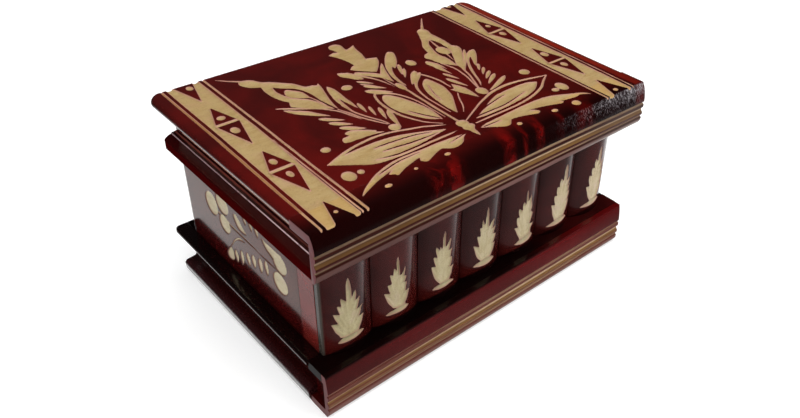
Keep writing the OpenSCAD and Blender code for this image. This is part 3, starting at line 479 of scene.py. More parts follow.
def column_leaf(k):
    """the carving, the foot alone, and the gouge strokes that run from the stalk to the teeth"""
    tip, right, left, foot = LEAVES[k]

    def corner(q):
        if len(q) < 3 or q[2] == "b":
            return (q[0], q[1])
        way = (q[0] - axis) * (1.05 if q[2] == "t" else 0.88)
        return (axis + way, q[1] + (0.25 if q[2] == "t" else -0.1), 1)

    axis = 0.5 * (tip[0] + 0.5 * (right[-1][0] + left[-1][0]))

    c, f = Carving(), Carving()
    c.shape([(tip[0], tip[1], 1)] + [corner(q) for q in right] + [corner(q) for q in left][::-1], n=4)
    c.shape(foot)
    f.shape(foot)
    mid = 0.5 * (right[-1][0] + left[-1][0])
    strokes = [((mid + 0.2, 37.0), tip)]
    for side in (right, left):
        teeth = [q for q in side if len(q) > 2 and q[2] in "tb"][::-1]
        for i, q in enumerate(teeth):
            z0 = (29.0, 30.5, 32.5, 35.0, 37.0)[i]
            strokes.append(((mid + 0.12 * (q[0] - mid), z0), (q[0], q[1])))
    return c, f, strokes


# ------------------------------------------------------------------ meshes
def put_mesh(name, verts_mm, faces, body, replaced, attrs=None, sharp=34.0):
    v = np.asarray(verts_mm, float) * MM
    me = bpy.data.meshes.new(name)
    me.from_pydata(v.tolist(), [], faces)
    me.update()
    for key, val in (attrs or {}).items():
        a = me.attributes.new(key, "FLOAT", "POINT")
        a.data.foreach_set("value", np.asarray(val, np.float32))
    me.polygons.foreach_set("use_smooth", np.ones(len(me.polygons), bool))
    me.set_sharp_from_angle(angle=math.radians(sharp))
    ob = bpy.data.objects.new(name, me)
    bpy.context.scene.collection.objects.link(ob)
    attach(ob, body)
    if replaced:
        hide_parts(*replaced)
    return ob


def loft_faces(m, n, caps=True, base=0):
    """faces for m closed rings of n points, one after another"""
    i, j = np.meshgrid(np.arange(m - 1), np.arange(n), indexing="ij")
    a = i * n + j
    b = i * n + (j + 1) % n
    q = np.stack([a, b, b + n, a + n], -1).reshape(-1, 4) + base
    faces = q.tolist()
    if caps:
        faces.append((np.arange(n)[::-1] + base).tolist())
        faces.append((np.arange(n) + (m - 1) * n + base).tolist())
    return faces


def cut_depth(sd, full=0.62):
    """depth of the cut in mm for a signed distance: a slanted wall, then a floor that is a little hollow"""
    d = np.clip(-sd, 0, None)
    return full * (1 - np.exp(-d / 0.42)) + 0.06 * np.clip(d, 0, 2.2)


LID = lid_ornament()
Y_SEAM = 11.8        # the front moulding's flat top ends here


def lid_depth(x, y, sd):
    grain = 0.016 * vnoise(x, y * 0.35, 0.9, 3) + 0.012 * vnoise(x * 0.6 + y * 0.3, y, 1.7, 4)
    d = cut_depth(sd)
    return d + np.where(sd < -0.3, grain, 0.0)


def build_lid_panel():
    x_edge, re, z1, z0 = 85.0, 2.0, 86.5, 82.3
    ys = np.concatenate([[Y_SEAM, Y_SEAM + 0.07, Y_SEAM + 0.16], np.arange(12.3, 114.2, 0.36), [114.2, 114.45, 114.65, 114.8, 114.92, 115.0]])
    nt = 470
    u = np.linspace(-1, 1, nt)
    round_a = np.linspace(90, -60, 9)[1:]
    rows, sds, cuts = [], [], []
    for y in ys:
        back = 5.0 - math.sqrt(max(0.0, 25.0 - max(0.0, y - 110.0) ** 2)) if y > 110 else 0.0
        xe = x_edge - back
        drop = 0.0
        if y > 114.0:
            t = min(1.0, y - 114.0)
            drop = 1.0 - math.sqrt(max(0.0, 1.0 - t * t))
        x = u * (xe - re)
        sd = LID.distance(x, np.full(nt, y))
        dep = lid_depth(x, np.full(nt, y), sd)
        keep = np.clip((xe - re - np.abs(x)) / 0.4, 0, 1)
        seam = 0.10 * (1 - min(1.0, (y - Y_SEAM) / 0.15)) ** 2
        wav = 0.03 * vnoise(x, np.full(nt, y), 23.0, 8)
        top = z1 - dep * keep - drop * 0.9 + wav - 0.03 - seam
        right = [(xe - re + re * math.cos(math.radians(a)), z1 - re + re * math.sin(math.radians(a)) - drop * 0.9 * max(0.0, math.sin(math.radians(a))))
                 for a in round_a]
        ring = [(xx, y, zz) for xx, zz in zip(x, top)]
        ring += [(px, y, pz) for px, pz in right]
        ring += [(xe - re - 0.6, y, z0), (0.0, y, z0), (-(xe - re - 0.6), y, z0)]
        ring += [(-px, y, pz) for px, pz in right[::-1]]
        rows.append(ring)
        extra = len(ring) - nt
        sds.append(np.concatenate([sd * keep + 1.5 * (1 - keep), np.full(extra, 1.5)]))
        cuts.append(np.concatenate([dep * keep, np.zeros(extra)]))
    R = np.array(rows)
    m, n = R.shape[:2]
    V = R.reshape(-1, 3).copy()
    V[:, 1] += YS
    faces = loft_faces(m, n)
    # rings go +x over the top, so the faces point outward when the ring order is reversed
    faces = [f[::-1] for f in faces]
    return put_mesh("lid_panel_carved", V, faces, "lid", ["lid_top_panel"],
                    {"sd": np.concatenate(sds), "cut": np.concatenate(cuts)}, 40)


def lid_front_profile():
    p = [(y, 86.5) for y in np.arange(Y_SEAM, 1.0, -0.36)]
    p += [(0.72, 86.5), (0.42, 86.47), (0.22, 86.39), (0.1, 86.25)]
    p += [(0.1 - 2.1 * math.sin(math.radians(a)), 86.25 - 7.5 * a / 90) for a in np.linspace(0, 90, 20)[1:]]
    p += [(-1.97, 78.64), (-1.85, 78.52), (-1.52, 78.36), (-1.22, 78.18), (-1.1, 78.0), (-1.22, 77.82), (-1.52, 77.62), (-1.86, 77.47), (-1.99, 77.33),
          (-2.03, 76.65), (-2.0, 76.0), (-1.86, 75.8), (-1.5, 75.55), (-1.27, 75.22), (-1.17, 74.88), (-1.14, 74.58), (-1.17, 74.28), (-1.28, 73.96),
          (-1.5, 73.66), (-1.84, 73.4), (-1.95, 73.24), (-1.98, 72.6), (-1.93, 72.0), (-1.78, 71.78), (-1.42, 71.56), (-1.12, 71.3), (-1.01, 71.05),
          (-1.12, 70.8), (-1.4, 70.58), (-1.67, 70.38), (-1.76, 70.2), (-1.72, 69.75), (-1.6, 69.1), (-1.38, 68.3), (-1.05, 67.4), (-0.7, 66.8),
          (-0.3, 66.42), (0.2, 66.24), (1.1, 66.15), (1.1, 82.3), (Y_SEAM, 82.3)]
    return np.array(p)


def build_lid_front():
    p = lid_front_profile()
    n = len(p)
    xs = np.concatenate([[-85.0, -84.95, -84.85, -84.7], np.arange(-84.5, 84.51, 0.39), [84.7, 84.85, 84.95, 85.0]])
    rows, sds, cuts, pzs = [], [], [], []
    flat = (p[:, 1] > 86.2)
    face = (p[:, 0] < 1.0) & (p[:, 1] < 86.3)
    weight = np.clip((p[:, 1] - 66.2) / 3.3, 0, 1) * np.clip((84.0 - p[:, 1]) / 4.5, 0, 1) * face
    arris = np.clip((p[:, 1] - 85.15) / 0.8, 0, 1)
    for x in xs:
        end = 85.0 - abs(x)
        pull = 0.22 * (1 - min(1.0, end / 0.2)) ** 2
        fall = 0.9 - math.sqrt(max(0.0, 0.81 - max(0.0, 0.9 - end) ** 2)) if end < 0.9 else 0.0
        yy, zz = p[:, 0].copy(), p[:, 1].copy()
        drift = float(np.interp(x, [-85, 0, 25, 85], [0.35, 0.0, -0.15, -1.25])) + 0.06 * float(vnoise(np.array([x]), np.array([3.3]), 21.0, 17)[0])
        zz = zz + drift * weight * (0.55 + 0.45 * np.clip((p[:, 1] - 70.0) / 5.0, 0, 1) if x > 0 else 1.0)
        wob = 0.06 * vnoise(np.full(n, x), p[:, 1], 11.0, 12)
        yy = yy + face * (pull + wob * 0.6)
        s = LID.distance(np.full(n, x), np.clip(p[:, 0], -0.3, 12))
        sd = s * arris + 1.5 * (1 - arris)
        dep = np.where(flat | (arris > 0), lid_depth(np.full(n, x), p[:, 0], s) * arris, 0.0)
        keep = np.clip((85.0 - abs(x) - 0.3) / 0.4, 0, 1)
        dep = dep * keep
        seam = 0.10 * np.clip(1 - (Y_SEAM - p[:, 0]) / 0.3, 0, 1) * flat
        zz = zz - dep - fall * np.clip((p[:, 1] - 84.0) / 2.0, 0, 1) - seam + 0.6 * pull * (p[:, 1] < 66.3)
        zz = zz - 0.03 * flat
        rows.append(np.stack([np.full(n, x), yy, zz], 1))
        sds.append(sd * keep + 1.5 * (1 - keep))
        cuts.append(dep)
        pzs.append(p[:, 1])
    R = np.array(rows)
    m = len(R)
    V = R.reshape(-1, 3).copy()
    V[:, 1] += YS
    faces = loft_faces(m, n)
    return put_mesh("lid_front_band", V, faces, "lid", ["lid_front_moulding"],
                    {"sd": np.concatenate(sds), "cut": np.concatenate(cuts), "pz": np.concatenate(pzs)}, 40)


RC = (11.0485 ** 2 + 3.9 ** 2) / (2 * 3.9)


def build_column(i):
    """i counts from 1 at the left"""
    pitch = 157.2 / 7
    xc = -78.6 + pitch * (i - 0.5)
    cw2 = (pitch - 0.36) / 2
    leaf, foot, strokes = column_leaf(i - 1)
    foot_mid = 0.5 * (LEAVES[i - 1][1][-1][0] + LEAVES[i - 1][2][-1][0])
    secret = i == 4
    z_lo = 18.0 if secret else 21.5
    z_hi = 65.9
    zs = np.concatenate([[z_lo, z_lo + 0.06, z_lo + 0.2], np.arange(z_lo + 0.45, 24.0, 0.5), np.arange(24.0, 58.6, 0.33),
                         np.arange(59.0, z_hi - 0.4, 0.7), [z_hi - 0.25, z_hi - 0.1, z_hi]])
    du = np.concatenate([[-cw2], -cw2 + np.array([0.12, 0.4]), np.linspace(-cw2 + 0.8, cw2 - 0.8, 63), cw2 - np.array([0.4, 0.12]), [cw2]])
    rows, sds, cuts = [], [], []
    for z in zs:
        zz = np.full(len(du), z)
        y = 5.4 + RC - np.sqrt(RC * RC - du * du)
        sd = leaf.distance(du, zz)
        dep = cut_depth(sd, 0.5)
        fd = foot.distance(du, zz)
        gouge = np.zeros(len(du))
        P = np.stack([du, zz], 1)
        for a, b in strokes:
            q = stroke_distance(P, np.array([a, b], float), np.zeros(2))
            gouge = np.maximum(gouge, 1 - (q / 0.95) ** 2)
        dep = dep + np.where((sd < 0) & (fd > 0), 0.28 * gouge * np.clip(-sd / 0.4, 0, 1), 0.0)
        edge = min(z - z_lo, z_hi - z)
        pull = 0.18 * (1 - min(1.0, edge / 0.2)) ** 2
        nx = du / RC
        ny = -np.sqrt(1 - nx * nx)
        side = np.clip((cw2 - np.abs(du)) / 0.12, 0, 1)
        yy = y - ny * (dep + pull) + (1 - side) * 0.1
        xx = xc + du - nx * dep * 0.9 - np.sign(du) * pull * 0.6
        ring = np.stack([xx, yy, zz], 1)
        b = np.array([[xc + cw2 - pull * 0.6, 9.9, z], [xc + cw2 - pull * 0.6, 11.6, z], [xc - cw2 + pull * 0.6, 11.6, z], [xc - cw2 + pull * 0.6, 9.9, z]])
        rows.append(np.concatenate([ring, b]))
        sds.append(np.concatenate([sd, np.full(4, 1.5)]))
        shallow = np.where((fd < 0.1) & (np.abs(du - foot_mid) > 3.2), 0.6, 1.0) * (1.0 if z < 50 else 0.55)
        cuts.append(np.concatenate([np.clip(dep, 0, None) * shallow, np.zeros(4)]))
    R = np.array(rows)
    m, n = R.shape[:2]
    V = R.reshape(-1, 3)
    faces = loft_faces(m, n)
    sd, cut = np.concatenate(sds), np.concatenate(cuts)
    if secret:
        # the tongue that runs in the front board
        t = np.array(TONGUE, float)
        k = len(t)
        b0 = len(V)
        lo = np.concatenate([t, np.full((k, 1), 18.5)], 1)
        hi = np.concatenate([t, np.full((k, 1), 50.0)], 1)
        V = np.concatenate([V, lo, hi])
        faces += loft_faces(2, k, True, b0)
        nose = [(-2.0, 18.5)] + [(2.0 * math.cos(a), 18.5 + 2.0 * math.sin(a)) for a in np.linspace(math.pi, 2 * math.pi, 9)[1:]]
        b1 = len(V)
        q = len(nose)
        ra = [(px, 11.9, pz) for px, pz in nose] + [(px, 14.8, pz) for px, pz in nose]
        V = np.concatenate([V, np.array(ra)])
        faces += loft_faces(2, q, True, b1)
        more = 2 * k + 2 * q
        sd, cut = np.concatenate([sd, np.full(more, 1.5)]), np.concatenate([cut, np.zeros(more)])
    V = V.copy()
    V[:, 1] += YS
    node = "secret_column" if secret else "column_%d" % i
    return put_mesh("column_carved_%d" % i, V, faces, "secret_column" if secret else "box", [node],
                    {"sd": sd, "cut": cut}, 40)


TONGUE = [(-2.0, 11.5), (2.0, 11.5), (2.0, 13.2), (4.0, 13.2), (4.0, 14.8), (-4.0, 14.8), (-4.0, 13.2), (-2.0, 13.2)]
SIDE = side_ornament()


def build_side(left):
    s = -1 if left else 1
    xo, wall = 78.6, 5.5
    y0 = 21.5
    ys = np.concatenate([[y0, y0 + 0.08, y0 + 0.2], np.arange(22.1, 27.5, 0.75), np.arange(27.8, 91.0, 0.36), np.arange(91.5, 106.5, 0.75), [106.75, 106.94, 107.0]])
    zs = np.concatenate([[21.5, 21.6], np.arange(22.2, 25.4, 0.6), np.arange(25.6, 60.2, 0.36), np.arange(60.6, 65.6, 0.7), [65.8, 65.94, 66.0]])
    rows, sds, cuts = [], [], []
    for z in zs:
        zz = np.full(len(ys), z)
        sd = SIDE.distance(ys, zz)
        dep = cut_depth(sd, 0.55) + np.where(sd < -0.3, 0.04 * vnoise(ys, zz * 0.5, 1.1, 21), 0)
        edge = np.minimum(np.minimum(ys - y0, 107.0 - ys), min(z - 21.5 + 0.2, 66.0 - z))
        pull = 0.16 * (1 - np.clip(edge / 0.2, 0, 1)) ** 2
        x = xo - dep - pull + 0.025 * vnoise(ys, zz, 17.0, 23) - 0.025
        ring = np.stack([s * x, ys, zz], 1)
        b = np.array([[s * (xo - wall), 107.0, z], [s * (xo - wall), y0, z]])
        rows.append(np.concatenate([ring, b]))
        sds.append(np.concatenate([sd, np.full(2, 1.5)]))
        cuts.append(np.concatenate([dep, np.zeros(2)]))
    R = np.array(rows)
    m, n = R.shape[:2]
    V = R.reshape(-1, 3).copy()
    V[:, 1] += YS
    faces = loft_faces(m, n)
    if left:
        faces = [f[::-1] for f in faces]
    return put_mesh("side_carved_left" if left else "side_carved_right", V, faces, "box",
                    ["left_side_panel" if left else "right_side_panel"],
                    {"sd": np.concatenate(sds), "cut": np.concatenate(cuts)}, 40)


# ------------------------------------------------------------------ materials
class Nodes:
    def __init__(self, name):
        self.mat = bpy.data.materials.new(name)
        self.mat.use_nodes = True
        self.t = self.mat.node_tree
        self.p = self.t.nodes["Principled BSDF"]
        self.tc = self.t.nodes.new("ShaderNodeTexCoord")

    def new(self, kind, **kw):
        n = self.t.nodes.new(kind)
        for k, v in kw.items():
            setattr(n, k, v)
        return n

    def link(self, a, b):
        self.t.links.new(a, b)

    def put(self, socket, value):
        if isinstance(value, bpy.types.NodeSocket):
            self.link(value, socket)
        else:
            socket.default_value = value

    def noise(self, scale, detail=2.0, rough=0.5, stretch=(1, 1, 1), offset=(0, 0, 0), distort=0.0):
        m = self.new("ShaderNodeMapping")
        m.inputs["Scale"].default_value = stretch
        m.inputs["Location"].default_value = offset
        self.link(self.tc.outputs["Object"], m.inputs["Vector"])
        n = self.new("ShaderNodeTexNoise")
        n.inputs["Scale"].default_value = scale
        n.inputs["Detail"].default_value = detail
        n.inputs["Roughness"].default_value = rough
        n.inputs["Distortion"].default_value = distort
        self.link(m.outputs["Vector"], n.inputs["Vector"])
        return n.outputs["Fac"]

    def ramp(self, value, lo, hi, a=0.0, b=1.0, smooth=True):
        n = self.new("ShaderNodeMapRange")
        n.interpolation_type = "SMOOTHSTEP" if smooth else "LINEAR"
        n.inputs["From Min"].default_value = lo
        n.inputs["From Max"].default_value = hi
        n.inputs["To Min"].default_value = a
        n.inputs["To Max"].default_value = b
        self.put(n.inputs["Value"], value)
        return n.outputs["Result"]

    def math(self, op, a, b=0.0):
        n = self.new("ShaderNodeMath", operation=op)
        self.put(n.inputs[0], a)
        self.put(n.inputs[1], b)
        return n.outputs[0]

    def mix(self, f, a, b):
        n = self.new("ShaderNodeMix")
        n.data_type = "RGBA"
        self.put(n.inputs[0], f)
        for s, v in ((n.inputs[6], a), (n.inputs[7], b)):
            self.put(s, v if isinstance(v, bpy.types.NodeSocket) else (*v, 1.0))
        return n.outputs[2]

    def attr(self, name):
        n = self.new("ShaderNodeAttribute", attribute_name=name)
        return n.outputs["Fac"]

    def xyz(self):
        n = self.new("ShaderNodeSeparateXYZ")
        self.link(self.tc.outputs["Object"], n.inputs[0])
        return n.outputs[0], n.outputs[1], n.outputs[2]

    def bump(self, height, strength, distance, before=None):
        n = self.new("ShaderNodeBump")
        n.inputs["Strength"].default_value = strength
        n.inputs["Distance"].default_value = distance
        self.link(height, n.inputs["Height"])
        if before is not None:
            self.link(before, n.inputs["Normal"])
        return n.outputs["Normal"]


RED = (0.082, 0.0034, 0.0026)
BRIGHT = (0.16, 0.006, 0.004)
DEEP = (0.040, 0.0026, 0.0022)
BLACK = (0.0055, 0.0012, 0.0012)


def lacquer(N, red=RED, deep=DEEP, seed=0.0, dark=0.5, stretch=(1, 1, 1)):
    """colour of the stained lacquer: patches of deeper stain and fine streaks"""
    big = N.noise(28.0, 3.0, 0.6, stretch, (seed, seed * 0.37, 0.0), 0.6)
    col = N.mix(N.ramp(big, dark - 0.2, dark + 0.2), deep, red)
    streak = N.noise(150.0, 2.0, 0.5, (0.25, 1, 1), (seed * 1.7, 0, 0))
    return N.mix(N.ramp(streak, 0.35, 0.75, 0.0, 0.22), col, deep)


def straw(N, cut=None, along="x", pale=(0.385, 0.275, 0.125), tan=(0.315, 0.205, 0.078), thin=(0.38, 0.19, 0.14)):
    st = {"x": (0.3, 1, 1), "y": (1, 0.3, 1), "z": (1, 1, 0.3)}[along]
    g = N.noise(520.0, 3.0, 0.6, st)
    b = N.noise(60.0, 2.0, 0.5)
    f = N.noise(1300.0, 2.0, 0.5)
    q = N.noise(170.0, 3.0, 0.6)
    col = N.mix(N.ramp(g, 0.30, 0.72), pale, tan)
    s = N.noise(2100.0, 1.0, 0.5)
    col = N.mix(N.ramp(b, 0.45, 0.75, 0.0, 0.4), col, tuple(0.5 * (a + c) for a, c in zip(pale, tan)))
    col = N.mix(N.ramp(q, 0.5, 0.72, 0.0, 0.5), col, (pale[0] * 1.03, pale[1] * 0.88, pale[2] * 1.12))
    col = N.mix(N.ramp(f, 0.58, 0.70, 0.0, 0.5), col, tuple(0.62 * c for c in tan))
    col = N.mix(N.ramp(s, 0.58, 0.68, 0.0, 0.35), col, tuple(1.3 * c for c in pale))
    if cut is not None:
        col = N.mix(N.ramp(cut, 0.18, 0.46, 1.0, 0.0), col, thin)
    return col


WOOD = (0.50, 0.34, 0.21)
HONEY = (0.20, 0.105, 0.034)
RUST = (0.125, 0.036, 0.026)
DARK_STAIN_AND_SHADE = (0.030, 0.005, 0.003)
MAUVE = (0.165, 0.078, 0.066)


def lay_bands(N, height, ground, bands):
    """a ground colour with bands over it: each from, to, colour, amount, softness, in mm of height"""
    col = ground
    for lo, hi, tint, amount, soft in bands:
        m = N.math("MULTIPLY", N.ramp(height, lo - soft, lo + soft, 0.0, amount), N.ramp(height, hi - soft, hi + soft, 1.0, 0.0))
        col = N.mix(m, col, tint)
    return col


def finish_principled(N, colour, rough, normal=None, coat=None, coat_normal=None):
    p = N.p
    N.put(p.inputs["Base Color"], colour)
    N.put(p.inputs["Roughness"], rough)
    p.inputs["Coat Roughness"].default_value = 0.07
    p.inputs["Coat IOR"].default_value = 1.5
    if coat is not None:
        N.put(p.inputs["Coat Weight"], coat)
    if normal is not None:
        N.link(normal, p.inputs["Normal"])
    if coat_normal is not None:
        N.link(coat_normal, p.inputs["Coat Normal"])
    return N.mat


def amber_edge(N, lac, x):
    """a redder, more transparent strip along the lid's right edge"""
    a = N.math("MULTIPLY", N.ramp(x, 0.0795, 0.0800), N.ramp(N.noise(70.0, 2.0, 0.5, (2.0, 0.25, 1)), 0.35, 0.6, 0.35, 0.9))
    a = N.math("MULTIPLY", a, N.ramp(x, 0.0820, 0.0836, 1.0, 0.25))
    return N.mix(a, lac, (0.20, 0.014, 0.006))


def carved_material(name, seed, along="x", mottle=False, red=RED, deep=DEEP, dark=0.5, wood=None, peel_size=420.0, side=False, foot=None):
    """lacquer with bare wood where the attribute sd says that it is cut"""
    N = Nodes(name)
    x, y, z = N.xyz()
    sd = N.attr("sd")
    cut = N.attr("cut")
    lac = lacquer(N, red, deep, seed, dark)
    if mottle:
        lac = front_stain(N, lac, x, y, z)
        # painted reflection: the underside of the lid's rounded side edges is painted greyish pink for the pale floor
        # it mirrors
        height = N.math("SUBTRACT", z, N.ramp(y, -0.048, 0.042, 0.0007, 0.0))
        under = N.math("MULTIPLY", N.ramp(height, 0.0836, 0.0844, 1.0, 0.0), N.ramp(N.math("ABSOLUTE", x), 0.0812, 0.0818))
        lac = N.mix(under, lac, (0.27, 0.175, 0.130))
        lac = amber_edge(N, lac, x)
    if side:
        # brownish clouds in the stain, only above about 28 to 42 mm: lower down the panel stays deeper red as a painted
        # dark reflection of the ledge
        cloud = N.noise(30.0, 3.0, 0.6)
        lac = N.mix(N.math("MULTIPLY", N.ramp(cloud, 0.3, 0.75, 0.1, 0.6), N.ramp(z, 0.028, 0.042)), lac, (0.13, 0.036, 0.020))
    if foot is not None:
        # painted dark reflection: the lacquer is painted near-black towards the ledge, along a shallow arc, where the
        # column mirrors the dark ledge
        u = N.math("SUBTRACT", x, foot * MM)
        arc = N.math("ADD", N.math("MULTIPLY", N.math("MULTIPLY", u, u), -0.0029 / 0.0108 ** 2), 0.0244)
        lac = N.mix(N.ramp(N.math("SUBTRACT", z, arc), -0.0004, 0.0005, 1.0, 0.0), lac, (0.005, 0.0008, 0.0008))
        # painted reflection: a greyish strip down the first column's left flank stands in for the sheen it mirrors
        # there
        if foot < -60:
            lac = N.mix(N.ramp(x, -0.0781, -0.0774, 1.0, 0.0), lac, (0.058, 0.046, 0.038))
    bare = N.ramp(sd, -0.07, 0.07, 1.0, 0.0)
    w = straw(N, cut, along, *(wood or ((0.355, 0.252, 0.112), (0.292, 0.188, 0.070))))
    if foot is not None:
        w = N.mix(N.ramp(cut, 0.50, 0.70, 0.38, 0.0), w, tuple(0.66 * c for c in wood[1]))
    if mottle:
        w = N.mix(N.ramp(N.math("MULTIPLY", x, -1.0), 0.0786, 0.0789, 0.0, 0.75), w, (0.24, 0.105, 0.022))
        near = N.ramp(y, (YS + 10.5) * MM, (YS + 13.0) * MM, 0.55, 0.0)
        w = N.mix(near, w, (0.37, 0.225, 0.075))
    if side:
        # a dark rim in the cut's wall and a darker line in the lacquer just outside it: partly the stained cut edge,
        # partly painted shade along the wall
        rim = N.math("MULTIPLY", N.ramp(sd, -0.42, -0.10, 0.0, 1.0), 0.9)
        w = N.mix(rim, w, (0.13, 0.035, 0.022))
        lac = N.mix(N.ramp(sd, 0.12, 0.34, 0.85, 0.0), lac, (0.045, 0.006, 0.004))
    else:
        rim = N.math("MULTIPLY", N.ramp(sd, -0.34, -0.06, 0.0, 1.0), 0.55)
        w = N.mix(rim, w, (0.38, 0.205, 0.145))
    col = N.mix(bare, lac, w)
    rough = N.ramp(bare, 0.0, 1.0, 0.24, 0.55, False)
    coat = N.ramp(bare, 0.0, 1.0, 1.0, 0.10, False)
    if side:
        coat = N.math("MULTIPLY", coat, N.ramp(y, -0.038, 0.020, 0.30, 0.62))
        rough = N.ramp(bare, 0.0, 1.0, 0.14, 0.55, False)
        N.p.inputs["Specular Tint"].default_value = (1.0, 0.78, 0.62, 1)
    if foot is not None and foot < -60:
        coat = N.math("MULTIPLY", coat, N.ramp(x, -0.0774, -0.0764, 0.30, 1.0))
    peel = N.noise(peel_size, 2.0, 0.5)
    fibre = N.noise(900.0, 3.0, 0.6, {"x": (0.25, 1, 1), "y": (1, 0.25, 1), "z": (1, 1, 0.25)}[along])
    hgt = N.math("ADD", N.math("MULTIPLY", peel, 0.35), N.math("MULTIPLY", N.math("MULTIPLY", fibre, bare), 0.7))
    nrm = N.bump(hgt, 0.35, 0.00012)
    return finish_principled(N, col, rough, nrm, coat, nrm)


def front_stain(N, lac, x, y, z):
    """near the front arris the stain turns black, with a few smears of bright red running down"""
    near = N.math("MULTIPLY", N.ramp(y, (YS + 0.5) * MM, (YS + 15.0) * MM, 1.0, 0.0), N.ramp(x, 0.0775, 0.0800, 1.0, 0.25))
    lean = N.math("ADD", x, N.math("MULTIPLY", y, -0.35))
    smear = N.noise(120.0, 4.0, 0.65, (1.0, 0.5, 0.5), (2.3, 0, 0), 1.0)
    tot = None
    for at, w, amount in ((-8.0, 6.5, 0.8), (22.5, 2.8, 0.85), (31.0, 1.2, 0.5), (39.0, 2.0, 0.8), (51.0, 1.8, 0.6), (66, 5.0, 0.3)):
        d = N.math("ABSOLUTE", N.math("SUBTRACT", lean, at * MM))
        r = N.ramp(d, 0.2 * w * MM, 1.6 * w * MM, amount, 0.0)
        tot = r if tot is None else N.math("MAXIMUM", tot, r)
    tot = N.math("MULTIPLY", tot, N.ramp(smear, 0.40, 0.58, 0.1, 1.0))
    patch = N.mix(tot, (0.0045, 0.0006, 0.0006), (0.130, 0.0022, 0.0018))
    return N.mix(N.math("MULTIPLY", near, 0.95), lac, patch)


def front_band_material():
    """the lid's front moulding: stained band, three bare grooves, chamfer, and the ends of the carved borders on its flat top"""
    N = Nodes("lacquer_lid_front")
    x, y, z = N.xyz()
    sd, cut, pz = N.attr("sd"), N.attr("cut"), N.attr("pz")
    lac = lacquer(N, RED, DEEP, 5.0, 0.5)
    lac = front_stain(N, lac, x, y, z)
    speck = N.noise(2500.0, 2.0, 0.6, (1.0, 0.32, 0.32))
    # painted sheen and painted glints: a grey haze and pale flecks on the upper band near the arris, growing towards
    # the right end, stand in for light the lacquer mirrors there
    sheen_zone = N.math("MULTIPLY", N.ramp(z, 0.0795, 0.0845, 0.15, 1.0), N.ramp(y, (YS - 0.1) * MM, (YS + 0.55) * MM, 1.0, 0.0))
    painted_sheen = N.math("MULTIPLY", N.ramp(x, 0.050, 0.085, 0.0, 1.0), sheen_zone)
    lac = N.mix(N.math("MULTIPLY", painted_sheen, N.ramp(speck, 0.30, 0.66, 0.05, 0.62)), lac, (0.105, 0.094, 0.102))
    painted_glints = N.math("MULTIPLY", N.ramp(speck, 0.54, 0.62), N.math("MULTIPLY", N.ramp(x, 0.022, 0.084, 0.0, 0.95), sheen_zone))
    lac = N.mix(painted_glints, lac, (0.30, 0.275, 0.29))
    lac = N.mix(N.ramp(y, (YS + 0.3) * MM, (YS + 1.2) * MM, 0.0, 1.0), lac, amber_edge(N, lac, x))
    # the grooves are cut through to wood; the dark ground between their bright stripes is painted shade on their walls,
    # and the chamfer's mauve is a painted reflection
    gcol = lay_bands(N, pz, DARK_STAIN_AND_SHADE, ((66.0, 69.8, MAUVE, 1.0, 0.25), (70.7, 71.6, WOOD, 0.85, 0.2), (71.7, 72.5, RUST, 1.0, 0.2),
                                   (73.2, 74.3, HONEY, 0.9, 0.25), (74.4, 75.3, WOOD, 1.0, 0.25), (77.5, 78.3, WOOD, 0.85, 0.2)))
    gcol = N.mix(N.math("MAXIMUM", N.ramp(x, -0.060, 0.015, 0.50, 0.0), N.ramp(x, 0.030, 0.062, 0.0, 0.30)), gcol, DARK_STAIN_AND_SHADE)
    # painted reflection: the chamfer is painted paler and greyer towards the right end, where it mirrors brighter
    # surroundings
    pale = N.math("MULTIPLY", N.ramp(x, 0.035, 0.075), N.ramp(pz, 67.0, 69.6, 1.0, 0.1))
    gcol = N.mix(pale, gcol, (0.34, 0.31, 0.28))
    gbare = N.math("MULTIPLY", 0.85, N.ramp(N.math("ABSOLUTE", x), 0.0845, 0.0849, 1.0, 0.0))
    low = N.ramp(pz, 78.5, 78.7, 1.0, 0.0)
    fleck = N.noise(700.0, 2.0, 0.5, (0.2, 1, 1))
    gcol = N.mix(N.ramp(fleck, 0.38, 0.7, 0.0, 0.30), gcol, N.mix(0.55, gcol, (0.05, 0.01, 0.006)))
    lac = N.mix(low, lac, gcol)
    bare_top = N.ramp(sd, -0.07, 0.07, 1.0, 0.0)
    w = straw(N, cut, "x")
    w = N.mix(0.55, w, (0.37, 0.225, 0.075))
    rim = N.math("MULTIPLY", N.ramp(sd, -0.38, -0.06, 0.0, 1.0), 0.6)
    w = N.mix(rim, w, (0.40, 0.225, 0.165))
    col = N.mix(bare_top, lac, w)
    end = N.ramp(N.math("ABSOLUTE", x), 0.08492, 0.08499, 0.0, 1.0)
    col = N.mix(end, col, (0.15, 0.042, 0.046))
    bare = N.math("MAXIMUM", bare_top, N.math("MULTIPLY", low, gbare))
    bare = N.math("MAXIMUM", bare, N.math("MULTIPLY", end, 0.5))
    rough = N.ramp(bare, 0.0, 1.0, 0.22, 0.5, False)
    coat = N.ramp(bare, 0.0, 1.0, 1.0, 0.12, False)
    # the black below the swell stays dull, except at the right end
    dull = N.math("MULTIPLY", N.ramp(z, 0.0790, 0.0822, 1.0, 0.0), N.ramp(x, 0.010, 0.050, 0.85, 0.25))
    coat = N.math("MULTIPLY", coat, N.math("SUBTRACT", 1.0, dull))
    fine = N.noise(420.0, 2.0, 0.5)
    peel = N.noise(950.0, 2.0, 0.55, (0.8, 1, 1))
    amount = N.math("MULTIPLY", N.ramp(x, 0.012, 0.085, 0.0, 3.5, False), N.ramp(z, 0.0775, 0.0795, 0.0, 1.0))
    amount = N.math("MULTIPLY", amount, N.ramp(y, (YS - 0.1) * MM, (YS + 0.7) * MM, 1.0, 0.0))
    hgt = N.math("ADD", N.math("MULTIPLY", fine, 0.35), N.math("MULTIPLY", peel, amount))
    nrm = N.bump(hgt, 0.5, 0.00012)
    N.p.inputs["Specular IOR Level"].default_value = 0.12
    return finish_principled(N, col, rough, nrm, coat, nrm)


